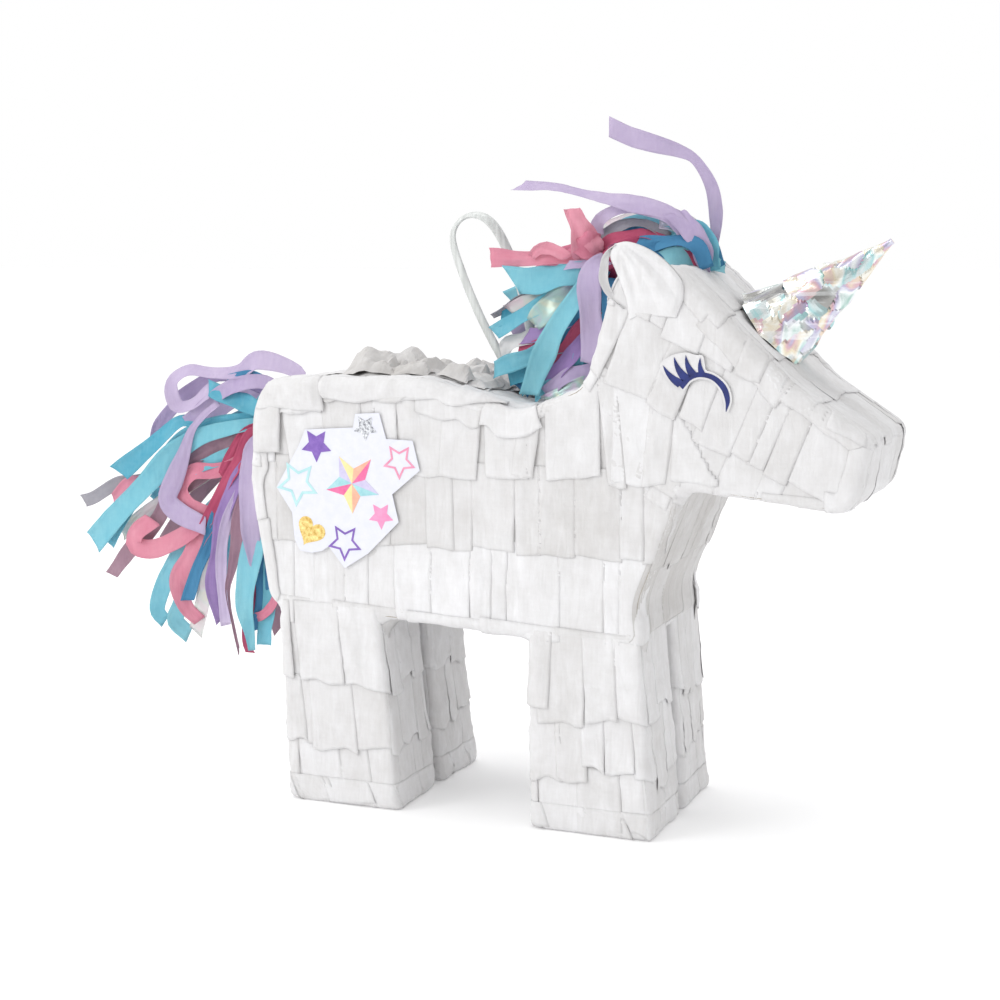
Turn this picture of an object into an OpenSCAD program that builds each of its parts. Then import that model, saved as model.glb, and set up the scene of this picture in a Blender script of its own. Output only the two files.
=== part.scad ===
// Unicorn pinata: a hollow card body on four box legs, covered in rows of white
// tissue fringe, with a foil horn, ribbon mane and tail, a fill flap and a hanging loop.
// +X points to the nose, +Y to the animal's left, +Z up. Ground is Z = 0, millimetres.

/* [Body] */
// Width over the two card side panels
body_w = 80; // [60:1:110]
// Length of the torso from rump to chest
torso_len = 167; // [145:1:205]
// Height of the torso from belly to back
torso_h = 94; // [78:1:115]
// Height of the belly above the ground
leg_h = 80; // [60:1:110]
// Thickness of the card panels
card_t = 2; // [1:0.25:3]
// Thickness of the glued tissue layers
tissue_t = 1; // [0.6:0.1:1.6]

/* [Head] */
// How far the nose reaches in front of the chest
head_reach = 84; // [70:1:105]
// Height of the poll above the back
poll_rise = 48; // [40:1:60]
// Height of the muzzle at the nose
muzzle_h = 25; // [20:1:32]
// Length of an ear from base to tip
ear_len = 33; // [26:1:40]
// Width of an ear
ear_w = 28; // [22:1:34]
// Thickness of a stuffed ear
ear_t = 5; // [3:0.5:7]

/* [Legs] */
// Length of a leg along the body where it meets the belly
leg_top_len = 43; // [34:1:48]
// Length of a foot along the body
foot_len = 48; // [38:1:52]
// Depth of a leg across the body
leg_depth = 35; // [24:1:38]
// Distance of the rear legs from the rump
rear_leg_inset = 13; // [6:1:20]

/* [Horn] */
// Outer radius of the horn at its base
horn_r = 16; // [12:0.5:20]
// Length of the horn
horn_len = 53; // [40:1:65]
// Wall of the horn's card cone
horn_wall = 0.8; // [0.6:0.1:1.2]
// Thickness of the foil wrapped round the horn
foil_t = 0.6; // [0.4:0.1:0.8]

/* [Fill flap] */
// Length of the fill flap along the back
flap_len = 46; // [34:1:50]
// Width of the fill flap across the back
flap_w = 50; // [30:1:52]
// Gap round the flap
flap_gap = 0.5; // [0.3:0.1:1]
// Height of the gathered tissue on the back
ruffle_h = 9; // [5:1:14]

/* [Hanging loop] */
// Diameter of the loop's plastic cord
loop_d = 4; // [3:0.5:5]
// Radius of the hole that the loop comes out of
loop_hole_r = 6; // [5.5:0.5:8]
// Length of the wooden toggle inside
toggle_len = 34; // [24:1:44]
// Radius of the toggle
toggle_r = 3; // [2:0.5:4]

/* [Mane and tail] */
// Reach of the tail behind the rump
tail_reach = 114; // [90:1:140]
// Radius of the bound root of the tail
tail_root_r = 7; // [5:0.5:9]
// Width of the strip that the mane is sewn to
mane_strip_w = 10; // [6:1:12]
// Width of one tissue streamer
streamer_w = 9; // [6:1:12]

/* [Hidden] */

// Colours of the plain solids
card_grey = [0.62, 0.58, 0.52];
tissue_white = [0.95, 0.95, 0.95];
aqua = [0.40, 0.78, 0.86];
lilac = [0.76, 0.66, 0.84];
pink = [0.88, 0.50, 0.62];
foil_silver = [0.82, 0.86, 0.90];
navy = [0.13, 0.18, 0.52];
wood = [0.80, 0.66, 0.45];
clear_white = [0.90, 0.91, 0.90];

// Places along the body, with the whole piece centred on X = 0
nose_round = 0.55;        // how far the rounded nose stops short of its corner
overall_len = tail_reach + torso_len + head_reach + tissue_t - nose_round;
rump_x = -overall_len / 2 + tail_reach;
chest_x = rump_x + torso_len;
nose_x = chest_x + head_reach;
back_z = leg_h + torso_h;
poll_z = back_z + poll_rise;
muzzle_z = leg_h + 52;
dip_z = back_z - 11;      // the withers, where the neck starts
dip_x = chest_x - 50;
slope_x = dip_x - 40;     // where the back starts to slope down

half_w = body_w / 2;
skin_w = half_w + tissue_t;

// Corners of the side view as [x, z, fillet radius], clockwise from the belly's rear
corners = [
  [rump_x + 8, leg_h + 2, 7],
  [rump_x, leg_h + 50, 60],
  [rump_x + 3, back_z, 18],
  [slope_x, back_z, 25],
  [dip_x, dip_z, 18],
  [chest_x - 22, dip_z + 11, 14],
  [chest_x - 10, poll_z - 5, 6],
  [chest_x + 11, poll_z - 3, 6],
  [chest_x + 54, muzzle_z + muzzle_h + 20, 20],
  [nose_x, muzzle_z + muzzle_h, 5],
  [nose_x - 5, muzzle_z, 8],
  [chest_x + 16, muzzle_z + 6, 8],
  [chest_x - 2, leg_h + 12, 24],
  [chest_x, leg_h - 4, 5]
];
// Numbers of the corners where one gusset ends and the next begins
BELLY_REAR = 0;
RUMP_TOP = 2;
DIP = 4;
POLL_REAR = 6;
POLL_FRONT = 7;
NOSE_TOP = 9;
NOSE_FOOT = 10;
THROAT = 11;
CHEST_FOOT = 13;
ARC_STEPS = 6;
N_CORNERS = len(corners);

function unit(v) = v / norm(v);
function corner_xz(i) = let (c = corners[(i + N_CORNERS) % N_CORNERS]) [c[0], c[1]];
function cross2(a, b) = a[0] * b[1] - a[1] * b[0];

// The points of one rounded corner. The radius gives way where its sides are short.
function rounded(i) =
  let (
    p = corner_xz(i),
    u = unit(p - corner_xz(i - 1)),
    v = unit(corner_xz(i + 1) - p),
    turn = acos(max(-1, min(1, u * v))),
    side = cross2(u, v) > 0 ? 1 : -1,
    room = 0.46 * min(norm(p - corner_xz(i - 1)), norm(corner_xz(i + 1) - p)),
    r = min(corners[i][2], room / tan(turn / 2)),
    start = p - u * r * tan(turn / 2),
    centre = start + side * r * [-u[1], u[0]],
    spoke = start - centre
  )
  [for (k = [0:ARC_STEPS])
    let (a = side * turn * k / ARC_STEPS)
    centre + [spoke[0] * cos(a) - spoke[1] * sin(a), spoke[0] * sin(a) + spoke[1] * cos(a)]];

outline = [for (i = [0:N_CORNERS - 1]) each rounded(i)];
N_POINTS = len(outline);

// The outline moved outwards by d, or inwards for a negative d
function moved(d) =
  [for (i = [0:N_POINTS - 1])
    let (
      u = unit(outline[i] - outline[(i + N_POINTS - 1) % N_POINTS]),
      v = unit(outline[(i + 1) % N_POINTS] - outline[i]),
      n = unit([-u[1] - v[1], u[0] + v[0]])
    )
    outline[i] + n * d / (n * [-u[1], u[0]])];

// Number of the outline's point at the middle of a corner
function mid(corner) = corner * (ARC_STEPS + 1) + ARC_STEPS / 2;

// A band along the outline between two corners, from distance d0 to distance d1 off it
function band(from, to, d0, d1) =
  let (
    low = moved(d0),
    high = moved(d1),
    last = to > from ? mid(to) : mid(to) + N_POINTS,
    steps = [for (k = [mid(from):last]) k % N_POINTS]
  )
  concat([for (k = steps) low[k]],
         [for (k = [len(steps) - 1:-1:0]) high[steps[k]]]);

// Height of the belly and of the back's sloping stretch at a given x
belly_fall = (corners[BELLY_REAR][1] - corners[CHEST_FOOT][1])
           / (corners[CHEST_FOOT][0] - corners[BELLY_REAR][0]);
function belly_z(x) = corners[CHEST_FOOT][1] + belly_fall * (chest_x - x);
function slope_z(x) = back_z + (dip_z - back_z) * (x - slope_x) / (dip_x - slope_x);

// Extrudes a side-view shape from y0 to y1
module across(y0, y1) {
  translate([0, y1, 0]) rotate([90, 0, 0]) linear_extrude(y1 - y0) children();
}

// Puts a right-hand solid on the side asked for: -1 is right, 1 is left
module on_side(side) {
  if (side < 0) children();
  else mirror([0, 1, 0]) children();
}

module profile_block(d, w) { across(-w, w) polygon(moved(d)); }

// ---------- card body ----------
module side_panel(side) {
  color(card_grey) on_side(side) across(-half_w, -half_w + card_t) polygon(outline);
}

module gusset(from, to) {
  color(card_grey)
    across(-half_w + card_t, half_w - card_t) polygon(band(from, to, 0, -card_t));
}

flap_edge = 3;                                 // from the flap's free edge to the slope
flap_x = slope_x - flap_edge - flap_len;       // hinge line of the flap
loop_x = dip_x - 12;                           // centre of the loop's hole

module loop_hole(r) {
  translate([loop_x, 0, dip_z - 20]) cylinder(r = r, h = 60, $fn = 48);
}

module back_panel() {
  difference() {
    gusset(RUMP_TOP, DIP);
    translate([flap_x, -flap_w / 2, back_z - 2 * card_t]) cube([flap_len, flap_w, 4 * card_t]);
    loop_hole(loop_hole_r);
  }
}

tail_root_z = back_z - 18;

module tail_rod(r, x0, x1) {
  translate([x0, 0, tail_root_z]) rotate([0, 90, 0]) cylinder(r = r, h = x1 - x0, $fn = 48);
}

module rump_panel() {
  difference() {
    gusset(BELLY_REAR, RUMP_TOP);
    tail_rod(tail_root_r, rump_x - 20, rump_x + 20);
  }
}

// ---------- legs ----------
sole_t = 2;
rear_forward = 6;    // how far a rear foot stands in front of the leg's top
front_forward = 3;
rear_leg_x = rump_x + rear_leg_inset + leg_top_len / 2;
front_leg_x = chest_x - 1 - leg_top_len / 2;
leg_y = half_w - leg_depth / 2;

// Side view of a leg, grown by g, and run on past both ends by over
module leg_outline(x, forward, g, over) {
  top = belly_z(x - leg_top_len / 2);
  high = top - sole_t;
  lean = forward / high;
  narrowing = (foot_len - leg_top_len) / 2 / high;
  z0 = sole_t - over;
  z1 = top + over;
  polygon([
    for (s = [-1, 1], z = s < 0 ? [z0, z1] : [z1, z0])
      let (up = z - sole_t)
      [x + forward - lean * up + s * (foot_len / 2 - narrowing * up + g), z]
  ]);
}

module leg_block(x, forward, g, over) {
  across(-leg_y - leg_depth / 2 - g, -leg_y + leg_depth / 2 + g)
    leg_outline(x, forward, g, over);
}

module leg(x, forward, side) {
  color(card_grey) on_side(side) difference() {
    leg_block(x, forward, 0, 0);
    leg_block(x, forward, -card_t, 5);
    profile_block(0, body_w);
  }
}

module all_leg_blocks(g, over) {
  for (side = [-1, 1]) on_side(side) {
    leg_block(rear_leg_x, rear_forward, g, over);
    leg_block(front_leg_x, front_forward, g, over);
  }
}

module leg_tissue() {
  color(tissue_white) difference() {
    all_leg_blocks(tissue_t, 0);
    all_leg_blocks(0, 5);
    profile_block(0, body_w);
  }
}

module sole(x, forward, side) {
  color(tissue_white) on_side(side)
    translate([x + forward - foot_len / 2 - tissue_t, -skin_w, 0])
      cube([foot_len + 2 * tissue_t, leg_depth + 2 * tissue_t, sole_t]);
}

// ---------- tissue rows on the sides ----------
row_far = 400;
belly_row_top = leg_h + 30;
flank_row_top = leg_h + 60;
// The neck line runs from the throat up to the nape, and the cheek line from the
// nose up to the poll
throat_end = [chest_x + 14, muzzle_z + 4];
nape_end = [chest_x - 17, dip_z + 25];
cheek_nose_end = [nose_x, muzzle_z + 8];
cheek_poll_end = [chest_x - 10, poll_z - 20];

// Everything to the left of the line from p to q
module left_of(p, q) {
  translate(p) rotate(atan2(q[1] - p[1], q[0] - p[0]))
    translate([-row_far, 0]) square([2 * row_far, row_far]);
}

module between(z0, z1) { translate([-row_far, z0]) square([2 * row_far, z1 - z0]); }

module side_skin(side) {
  color(tissue_white) on_side(side) across(-skin_w, -half_w)
    intersection() {
      polygon(outline);
      children();
    }
}

module belly_row(side) { side_skin(side) between(0, belly_row_top); }

module torso_row(side, z0, z1) {
  side_skin(side) intersection() {
    between(z0, z1);
    left_of(throat_end, nape_end);
  }
}

module cheek_row(side) {
  side_skin(side) difference() {
    left_of(cheek_nose_end, cheek_poll_end);
    left_of(throat_end, nape_end);
  }
}

module brow_row(side) {
  side_skin(side) difference() {
    between(0, row_far);
    left_of(cheek_nose_end, cheek_poll_end);
    left_of(throat_end, nape_end);
  }
}

// ---------- tissue on the gussets ----------
module gusset_tissue(from, to) {
  color(tissue_white) across(-skin_w, skin_w) polygon(band(from, to, 0, tissue_t));
}

hinge_margin = 1.5;   // bare card beside the hinge, so the flap can fold back

module back_tissue() {
  difference() {
    gusset_tissue(RUMP_TOP, DIP);
    translate([flap_x - hinge_margin, -flap_w / 2, back_z - 5])
      cube([flap_len + hinge_margin, flap_w, 10]);
    loop_hole(loop_hole_r);
  }
}

module rump_tissue() {
  difference() {
    gusset_tissue(BELLY_REAR, RUMP_TOP);
    tail_rod(tail_root_r, rump_x - 20, rump_x + 20);
    all_leg_blocks(tissue_t, 0);
  }
}

module belly_tissue() {
  difference() {
    gusset_tissue(CHEST_FOOT, BELLY_REAR);
    all_leg_blocks(tissue_t, 5);
  }
}

module chest_tissue() {
  difference() {
    gusset_tissue(THROAT, CHEST_FOOT);
    all_leg_blocks(tissue_t, 5);
  }
}

// Gathered tissue on the slope between the flap and the loop
ruffle_w = flap_w - 4;

module back_ruffle() {
  x0 = slope_x;
  color(tissue_white) difference() {
    across(-ruffle_w / 2, ruffle_w / 2) difference() {
      polygon([
        [x0, back_z - 10], [x0, back_z + ruffle_h - 4], [x0 + 3, back_z + ruffle_h - 2],
        [x0 + 9, back_z + ruffle_h - 2], [x0 + 16, back_z + 1], [x0 + 19, back_z - 10]
      ]);
      polygon(moved(tissue_t));
    }
    loop_hole(loop_hole_r + 1);
  }
}

// ---------- fill flap ----------
module fill_flap() {
  color(card_grey)
    translate([flap_x + flap_gap, -flap_w / 2 + flap_gap, back_z - card_t])
      cube([flap_len - 2 * flap_gap, flap_w - 2 * flap_gap, card_t]);
}

module flap_ruffle() {
  x0 = flap_x + 5;
  x1 = flap_x + flap_len - 2 * flap_gap;
  color(tissue_white) across(-ruffle_w / 2, ruffle_w / 2)
    polygon([
      [x0, back_z], [x0 + 2, back_z + ruffle_h - 3], [x0 + 10, back_z + ruffle_h],
      [x1 - 8, back_z + ruffle_h], [x1, back_z + ruffle_h - 4], [x1, back_z]
    ]);
}

// ---------- head ----------
module ear(side) {
  rise = ear_len - 22;    // how far the ear stands above the poll
  x0 = chest_x - 20;
  color(tissue_white) on_side(side) across(-skin_w, -skin_w + ear_t)
    difference() {
      polygon([
        [x0 + 10, poll_z - 17], [x0 + 2, poll_z - 8], [x0 + 1, poll_z],
        [x0 + 4, poll_z + rise - 3], [x0 + 8, poll_z + rise - 2],
        [x0 + 18, poll_z + rise - 6], [x0 + ear_w + 3, poll_z - 1],
        [x0 + ear_w + 3, poll_z - 8]
      ]);
      polygon(moved(tissue_t));
    }
}

horn_tip_r = 1;
foil_gap = 0.05;                                        // glue line under the foil
horn_base = [chest_x + 40, muzzle_z + muzzle_h + 39];   // inside the forehead
horn_lean = 53;                                         // degrees from upright to forward

module horn_solid(g) {
  translate([horn_base[0], 0, horn_base[1]]) rotate([0, horn_lean, 0])
    cylinder(r1 = horn_r + g, r2 = horn_tip_r + g, h = horn_len + g, $fn = 64);
}

module horn_cone() {
  color(card_grey) difference() {
    horn_solid(-foil_t - foil_gap);
    translate([horn_base[0], 0, horn_base[1]]) rotate([0, horn_lean, 0])
      translate([0, 0, -1])
        cylinder(r1 = horn_r - foil_t - horn_wall + horn_r / horn_len,
                 r2 = 0.1, h = horn_len - 8, $fn = 64);
    profile_block(tissue_t, body_w);
  }
}

module horn_foil() {
  color(foil_silver) difference() {
    horn_solid(0);
    horn_solid(-foil_t);
    profile_block(tissue_t, body_w);
  }
}

// ---------- mane ----------
strip_t = 0.8;
strip_off = tissue_t + strip_t;

module mane_strip() {
  color(lilac) across(-mane_strip_w / 2, mane_strip_w / 2)
    polygon(band(DIP, POLL_FRONT, tissue_t, strip_off));
}

streamer_t = 1.2;
mane_gap = 0.6;           // from the mane strip to the roots of the streamers

// A streamer that leaves its root, bends round a middle point and ends at its tip.
// Points are [x, z]; the root is at y, and splay turns the streamer about the root.
module streamer(root, bend, tip, y = 0, splay = 0) {
  steps = 8;
  line = [for (k = [0:steps]) let (t = k / steps)
    (1 - t) * (1 - t) * root + 2 * t * (1 - t) * bend + t * t * tip - root];
  normals = [for (i = [0:steps])
    let (d = unit(line[min(i + 1, steps)] - line[max(i - 1, 0)])) [-d[1], d[0]]];
  translate([root[0], y, root[1]]) rotate([0, 0, splay])
    across(-streamer_w / 2, streamer_w / 2)
      polygon(concat(
        [for (i = [0:steps]) line[i] + normals[i] * streamer_t / 2],
        [for (i = [steps:-1:0]) line[i] - normals[i] * streamer_t / 2]));
}

// Streamers hanging down one side of the neck, clear of the loop between the two sides
module mane_bunch(side) {
  y = -mane_strip_w / 2 - 1;
  x = chest_x - 18;
  color(aqua) on_side(side) {
    streamer([x, poll_z - 4], [dip_x + 4, poll_z + 16], [dip_x - 27, poll_z - 4], y, 9);
    streamer([x - 2, poll_z - 12], [dip_x + 2, poll_z], [dip_x - 26, poll_z - 18], y, 15);
    streamer([x - 3, poll_z - 20], [dip_x + 2, poll_z - 12], [dip_x - 22, dip_z + 14], y, 21);
    streamer([x - 6, dip_z + 28], [dip_x + 6, dip_z + 30], [dip_x - 14, dip_z + 9], y, 27);
  }
}

module mane_crown_bunch() {
  x = chest_x + 8;
  color(lilac) {
    streamer([x, poll_z + 1], [x - 4, poll_z + 22], [x - 28, poll_z + 20], -9);
    streamer([x, poll_z + 1], [x - 2, poll_z + 32], [x - 30, poll_z + 25], 9);
  }
}

module mane_tall_streamer() {
  color(lilac)
    streamer([chest_x + 8, poll_z + 1], [chest_x + 13, poll_z + 46],
             [chest_x - 32, poll_z + 53], 20);
}

module mane_rear_streamer() {
  color(lilac)
    streamer([chest_x + 8, poll_z + 1], [chest_x - 14, poll_z + 36], [dip_x - 14, poll_z + 28]);
}

// ---------- tail ----------
root_len = 7;                   // how far the bound root stands out of the rump
tail_x = rump_x - root_len;
root_bite = 2;                  // how deep the binding holds the streamers

// One tail streamer, bent at a point and ending at a share of the tail's reach
module tail_streamer(bend_share, bend_z, tip_share, tip_z, splay, up = 0) {
  root = [tail_x + root_bite, tail_root_z + up];
  reach = tail_reach - root_len + root_bite - streamer_t / 2;
  streamer(root, [root[0] - reach * bend_share, bend_z], [root[0] - reach * tip_share, tip_z],
           0, splay);
}

module tail_binding() { color(lilac) tail_rod(tail_root_r, tail_x, rump_x + 12); }

module tail_upper_bunch() {
  color(aqua) {
    tail_streamer(0.30, back_z + 22, 0.52, back_z - 16, 6, 4);
    tail_streamer(0.34, back_z + 10, 0.80, leg_h + 62, -10, 4);
    tail_streamer(0.45, back_z + 4, 1, leg_h + 35, 0, 2);
    tail_streamer(0.45, back_z - 8, 0.96, leg_h + 19, 12, 1);
    tail_streamer(0.40, back_z - 14, 0.84, leg_h + 13, 8);
    tail_streamer(0.34, back_z - 20, 0.66, leg_h + 18, -14);
  }
}

module tail_lower_bunch() {
  color(pink) {
    tail_streamer(0.34, back_z - 32, 0.60, leg_h - 2, 10, -3);
    tail_streamer(0.28, back_z - 36, 0.52, leg_h - 18, -8, -4);
    tail_streamer(0.20, back_z - 40, 0.38, leg_h - 22, 14, -4);
    tail_streamer(0.12, back_z - 44, 0.20, leg_h - 29, -16, -5);
    tail_streamer(0.06, back_z - 50, 0.07, leg_h - 27, 4, -5);
  }
}

// ---------- hanging loop ----------
patch_t = 1.5;
patch_len = 22;
strand_y = 3;            // each strand's distance from the middle of the hole
toggle_gap = 0.5;
// The toggle hangs just below the patch's lower edge
toggle_z = slope_z(loop_x + patch_len / 2) - card_t - patch_t - toggle_gap - toggle_r - 1;

// Points along the loop above the hole, as [x, y, z] from the hole's centre
loop_route = [
  [0, -3, 4], [-5, -3, 10], [-11, -2, 18], [-20, -2, 34], [-28, -1, 51], [-32, -1, 64],
  [-30, 0, 71], [-24, 0, 74], [-17, 0, 72], [-11, 1, 64], [-4, 2, 47], [1, 2, 27],
  [2, 3, 14], [0, 3, 4]
];
LOOP_SIDES = 10;
LOOP_STEPS = 3;

// Catmull-Rom curve through the points, with its ends held
function at(pts, i) = pts[max(0, min(len(pts) - 1, i))];
function curve_point(pts, i, t) =
  let (a = at(pts, i - 1), b = at(pts, i), c = at(pts, i + 1), d = at(pts, i + 2))
  0.5 * (2 * b + (c - a) * t + (2 * a - 5 * b + 4 * c - d) * t * t
         + (3 * b - a - 3 * c + d) * t * t * t);
function curve(pts, steps) = concat(
  [for (i = [0:len(pts) - 2], k = [0:steps - 1]) curve_point(pts, i, k / steps)],
  [pts[len(pts) - 1]]);

module tube(path, r) {
  n = len(path);
  // The loop lies near the plane Y = 0, so +Y starts every ring
  rings = [for (i = [0:n - 1])
    let (
      d = unit(path[min(i + 1, n - 1)] - path[max(i - 1, 0)]),
      u = unit([0, 1, 0] - d * d[1]),
      w = cross(d, u)
    )
    for (k = [0:LOOP_SIDES - 1])
      path[i] + r * (cos(360 * k / LOOP_SIDES) * u + sin(360 * k / LOOP_SIDES) * w)];
  faces = concat(
    [[for (k = [LOOP_SIDES - 1:-1:0]) k]],
    [[for (k = [0:LOOP_SIDES - 1]) (n - 1) * LOOP_SIDES + k]],
    [for (i = [0:n - 2], k = [0:LOOP_SIDES - 1])
      let (a = i * LOOP_SIDES + k, b = i * LOOP_SIDES + (k + 1) % LOOP_SIDES)
      each [[a, b, b + LOOP_SIDES], [a, b + LOOP_SIDES, a + LOOP_SIDES]]]);
  polyhedron(points = rings, faces = [for (f = faces) [for (j = [len(f) - 1:-1:0]) f[j]]]);
}

module hanging_loop() {
  hole_z = slope_z(loop_x);
  above_hole = [for (p = loop_route) [loop_x + p[0], p[1], hole_z + p[2]]];
  path = concat([[loop_x, -strand_y, toggle_z + 1]], curve(above_hole, LOOP_STEPS),
                [[loop_x, strand_y, toggle_z + 1]]);
  color(clear_white) tube(path, loop_d / 2);
}

module loop_toggle() {
  color(wood) translate([loop_x, toggle_len / 2, toggle_z]) rotate([90, 0, 0])
    cylinder(r = toggle_r, h = toggle_len, $fn = 32);
}

module loop_patch() {
  color(card_grey) difference() {
    across(-toggle_len / 2 - 2, toggle_len / 2 + 2) intersection() {
      polygon(band(RUMP_TOP, DIP, -card_t, -card_t - patch_t));
      translate([loop_x - patch_len / 2, 0]) square([patch_len, row_far]);
    }
    loop_hole(loop_hole_r);
  }
}

// ---------- stickers ----------
sticker_t = 0.4;

module sticker(side) {
  on_side(side) across(-skin_w - sticker_t, -skin_w) children();
}

// A sleeping eye: an arc with four lashes
eye_centre = [chest_x + 21, muzzle_z + 36];
eye_r = 13;
eye_line = 2.5;

module eye_sticker(side) {
  color(navy) sticker(side) {
    difference() {
      translate(eye_centre) circle(r = eye_r, $fn = 64);
      translate(eye_centre + [-0.5, -1.5]) circle(r = eye_r - eye_line + 1, $fn = 64);
      translate(eye_centre) rotate(-32) translate([-30, -60]) square([60, 60]);
    }
    for (a = [100, 116, 132, 148])
      translate(eye_centre) rotate(a)
        polygon([[eye_r - 1.5, -1.4], [eye_r - 1.5, 1.4], [eye_r + 6, 1.5]]);
  }
}

// The printed star sheet, cut out with a wavy edge
hip_x = rump_x + 44;
hip_z = leg_h + 52;

module hip_sticker(side) {
  color([0.97, 0.97, 0.99]) sticker(side) translate([hip_x, hip_z])
    polygon([
      [-36, 8], [-20, 24], [3, 24], [5, 29], [14, 30], [18, 19], [28, 19], [31, 8],
      [19, -1], [21, -12], [10, -23], [3, -26], [-2, -32], [-9, -24], [-22, -27], [-27, -13]
    ]);
}

side_panel(-1);  // right_side_panel
side_panel(1);  // left_side_panel
back_panel();
rump_panel();
gusset(CHEST_FOOT, BELLY_REAR);  // belly_panel
gusset(THROAT, CHEST_FOOT);  // chest_panel
gusset(NOSE_FOOT, THROAT);  // jaw_panel
gusset(NOSE_TOP, NOSE_FOOT);  // muzzle_panel
gusset(POLL_FRONT, NOSE_TOP);  // forehead_panel
gusset(DIP, POLL_FRONT);  // nape_panel
leg(front_leg_x, front_forward, -1);  // front_right_leg
leg(front_leg_x, front_forward, 1);  // front_left_leg
leg(rear_leg_x, rear_forward, -1);  // rear_right_leg
leg(rear_leg_x, rear_forward, 1);  // rear_left_leg
sole(front_leg_x, front_forward, -1);  // front_right_sole
sole(front_leg_x, front_forward, 1);  // front_left_sole
sole(rear_leg_x, rear_forward, -1);  // rear_right_sole
sole(rear_leg_x, rear_forward, 1);  // rear_left_sole
leg_tissue();
belly_row(-1);  // right_belly_row
torso_row(-1, belly_row_top, flank_row_top);  // right_flank_row
torso_row(-1, flank_row_top, row_far);  // right_shoulder_row
cheek_row(-1);  // right_cheek_row
brow_row(-1);  // right_brow_row
belly_row(1);  // left_belly_row
torso_row(1, belly_row_top, flank_row_top);  // left_flank_row
torso_row(1, flank_row_top, row_far);  // left_shoulder_row
cheek_row(1);  // left_cheek_row
brow_row(1);  // left_brow_row
back_tissue();
rump_tissue();
belly_tissue();
chest_tissue();
gusset_tissue(NOSE_FOOT, THROAT);  // jaw_tissue
gusset_tissue(NOSE_TOP, NOSE_FOOT);  // muzzle_tissue
gusset_tissue(POLL_FRONT, NOSE_TOP);  // forehead_tissue
gusset_tissue(DIP, POLL_FRONT);  // nape_tissue
back_ruffle();
ear(-1);  // right_ear
ear(1);  // left_ear
horn_cone();
horn_foil();
mane_strip();
mane_bunch(-1);  // mane_right_bunch
mane_bunch(1);  // mane_left_bunch
mane_crown_bunch();
mane_tall_streamer();
mane_rear_streamer();
tail_binding();
tail_upper_bunch();
tail_lower_bunch();
hanging_loop();
loop_toggle();
loop_patch();
fill_flap();
flap_ruffle();
eye_sticker(-1);  // right_eye_sticker
eye_sticker(1);  // left_eye_sticker
hip_sticker(-1);  // right_hip_sticker
hip_sticker(1);  // left_hip_sticker
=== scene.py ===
"""Looks of the unicorn pinata: tissue fringe, streamers, foil horn, stickers, strap.

The builders work in millimetres in the CAD model's frame and turn to metres when a mesh
is made. The side view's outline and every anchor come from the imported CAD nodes.
"""
import math

import bmesh
import bpy
import numpy as np
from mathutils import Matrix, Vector


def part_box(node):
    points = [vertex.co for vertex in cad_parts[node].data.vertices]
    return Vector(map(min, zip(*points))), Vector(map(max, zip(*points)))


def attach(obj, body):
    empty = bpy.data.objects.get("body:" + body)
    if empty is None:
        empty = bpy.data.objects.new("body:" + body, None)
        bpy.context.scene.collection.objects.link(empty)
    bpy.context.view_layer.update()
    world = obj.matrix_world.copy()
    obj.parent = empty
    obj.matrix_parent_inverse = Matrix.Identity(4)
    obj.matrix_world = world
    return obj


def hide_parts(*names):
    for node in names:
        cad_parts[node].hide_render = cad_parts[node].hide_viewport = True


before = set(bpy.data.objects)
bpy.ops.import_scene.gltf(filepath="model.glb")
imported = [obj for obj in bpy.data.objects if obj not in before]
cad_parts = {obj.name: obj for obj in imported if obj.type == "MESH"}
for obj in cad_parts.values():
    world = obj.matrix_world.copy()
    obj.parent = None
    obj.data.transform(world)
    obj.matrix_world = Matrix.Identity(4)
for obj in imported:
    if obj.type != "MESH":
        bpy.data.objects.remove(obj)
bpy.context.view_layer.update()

MM = 0.001
RNG = np.random.default_rng(7)
SIDES = ((-1, "right"), (1, "left"))


# ---------------------------------------------------------------- anchors
def mm_box(node):
    low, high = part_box(node)
    return np.array(low) / MM, np.array(high) / MM


panel_lo = mm_box("right_side_panel")[0]
HALF_W = -panel_lo[1]                    # half the width over the card
TISSUE = -mm_box("right_flank_row")[0][1] - HALF_W
SKIN = HALF_W + TISSUE                   # half the width over the tissue
RUMP_X = panel_lo[0]
BACK_Z = mm_box("fill_flap")[1][2]
POLL_Z = BACK_Z + 48
EDGE_R = 3.6                             # roundness of the tissue over the card's edges

# ---------------------------------------------------------------- camera
CAM_AZIMUTH, CAM_ELEVATION, CAM_DISTANCE = math.radians(22), math.radians(7.6), 742
target = Vector((RUMP_X + 93, 0, 124))
back = Vector((math.sin(CAM_AZIMUTH) * math.cos(CAM_ELEVATION),
               -math.cos(CAM_AZIMUTH) * math.cos(CAM_ELEVATION), math.sin(CAM_ELEVATION)))
camera = bpy.data.objects.new("camera", bpy.data.cameras.new("camera"))
camera.data.sensor_width = 36
camera.data.lens = 64.8
camera.data.clip_start = 0.01
camera.location = (target + back * CAM_DISTANCE) * MM
camera.rotation_euler = back.to_track_quat("Z", "Y").to_euler()
bpy.context.scene.collection.objects.link(camera)
bpy.context.scene.camera = camera


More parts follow.
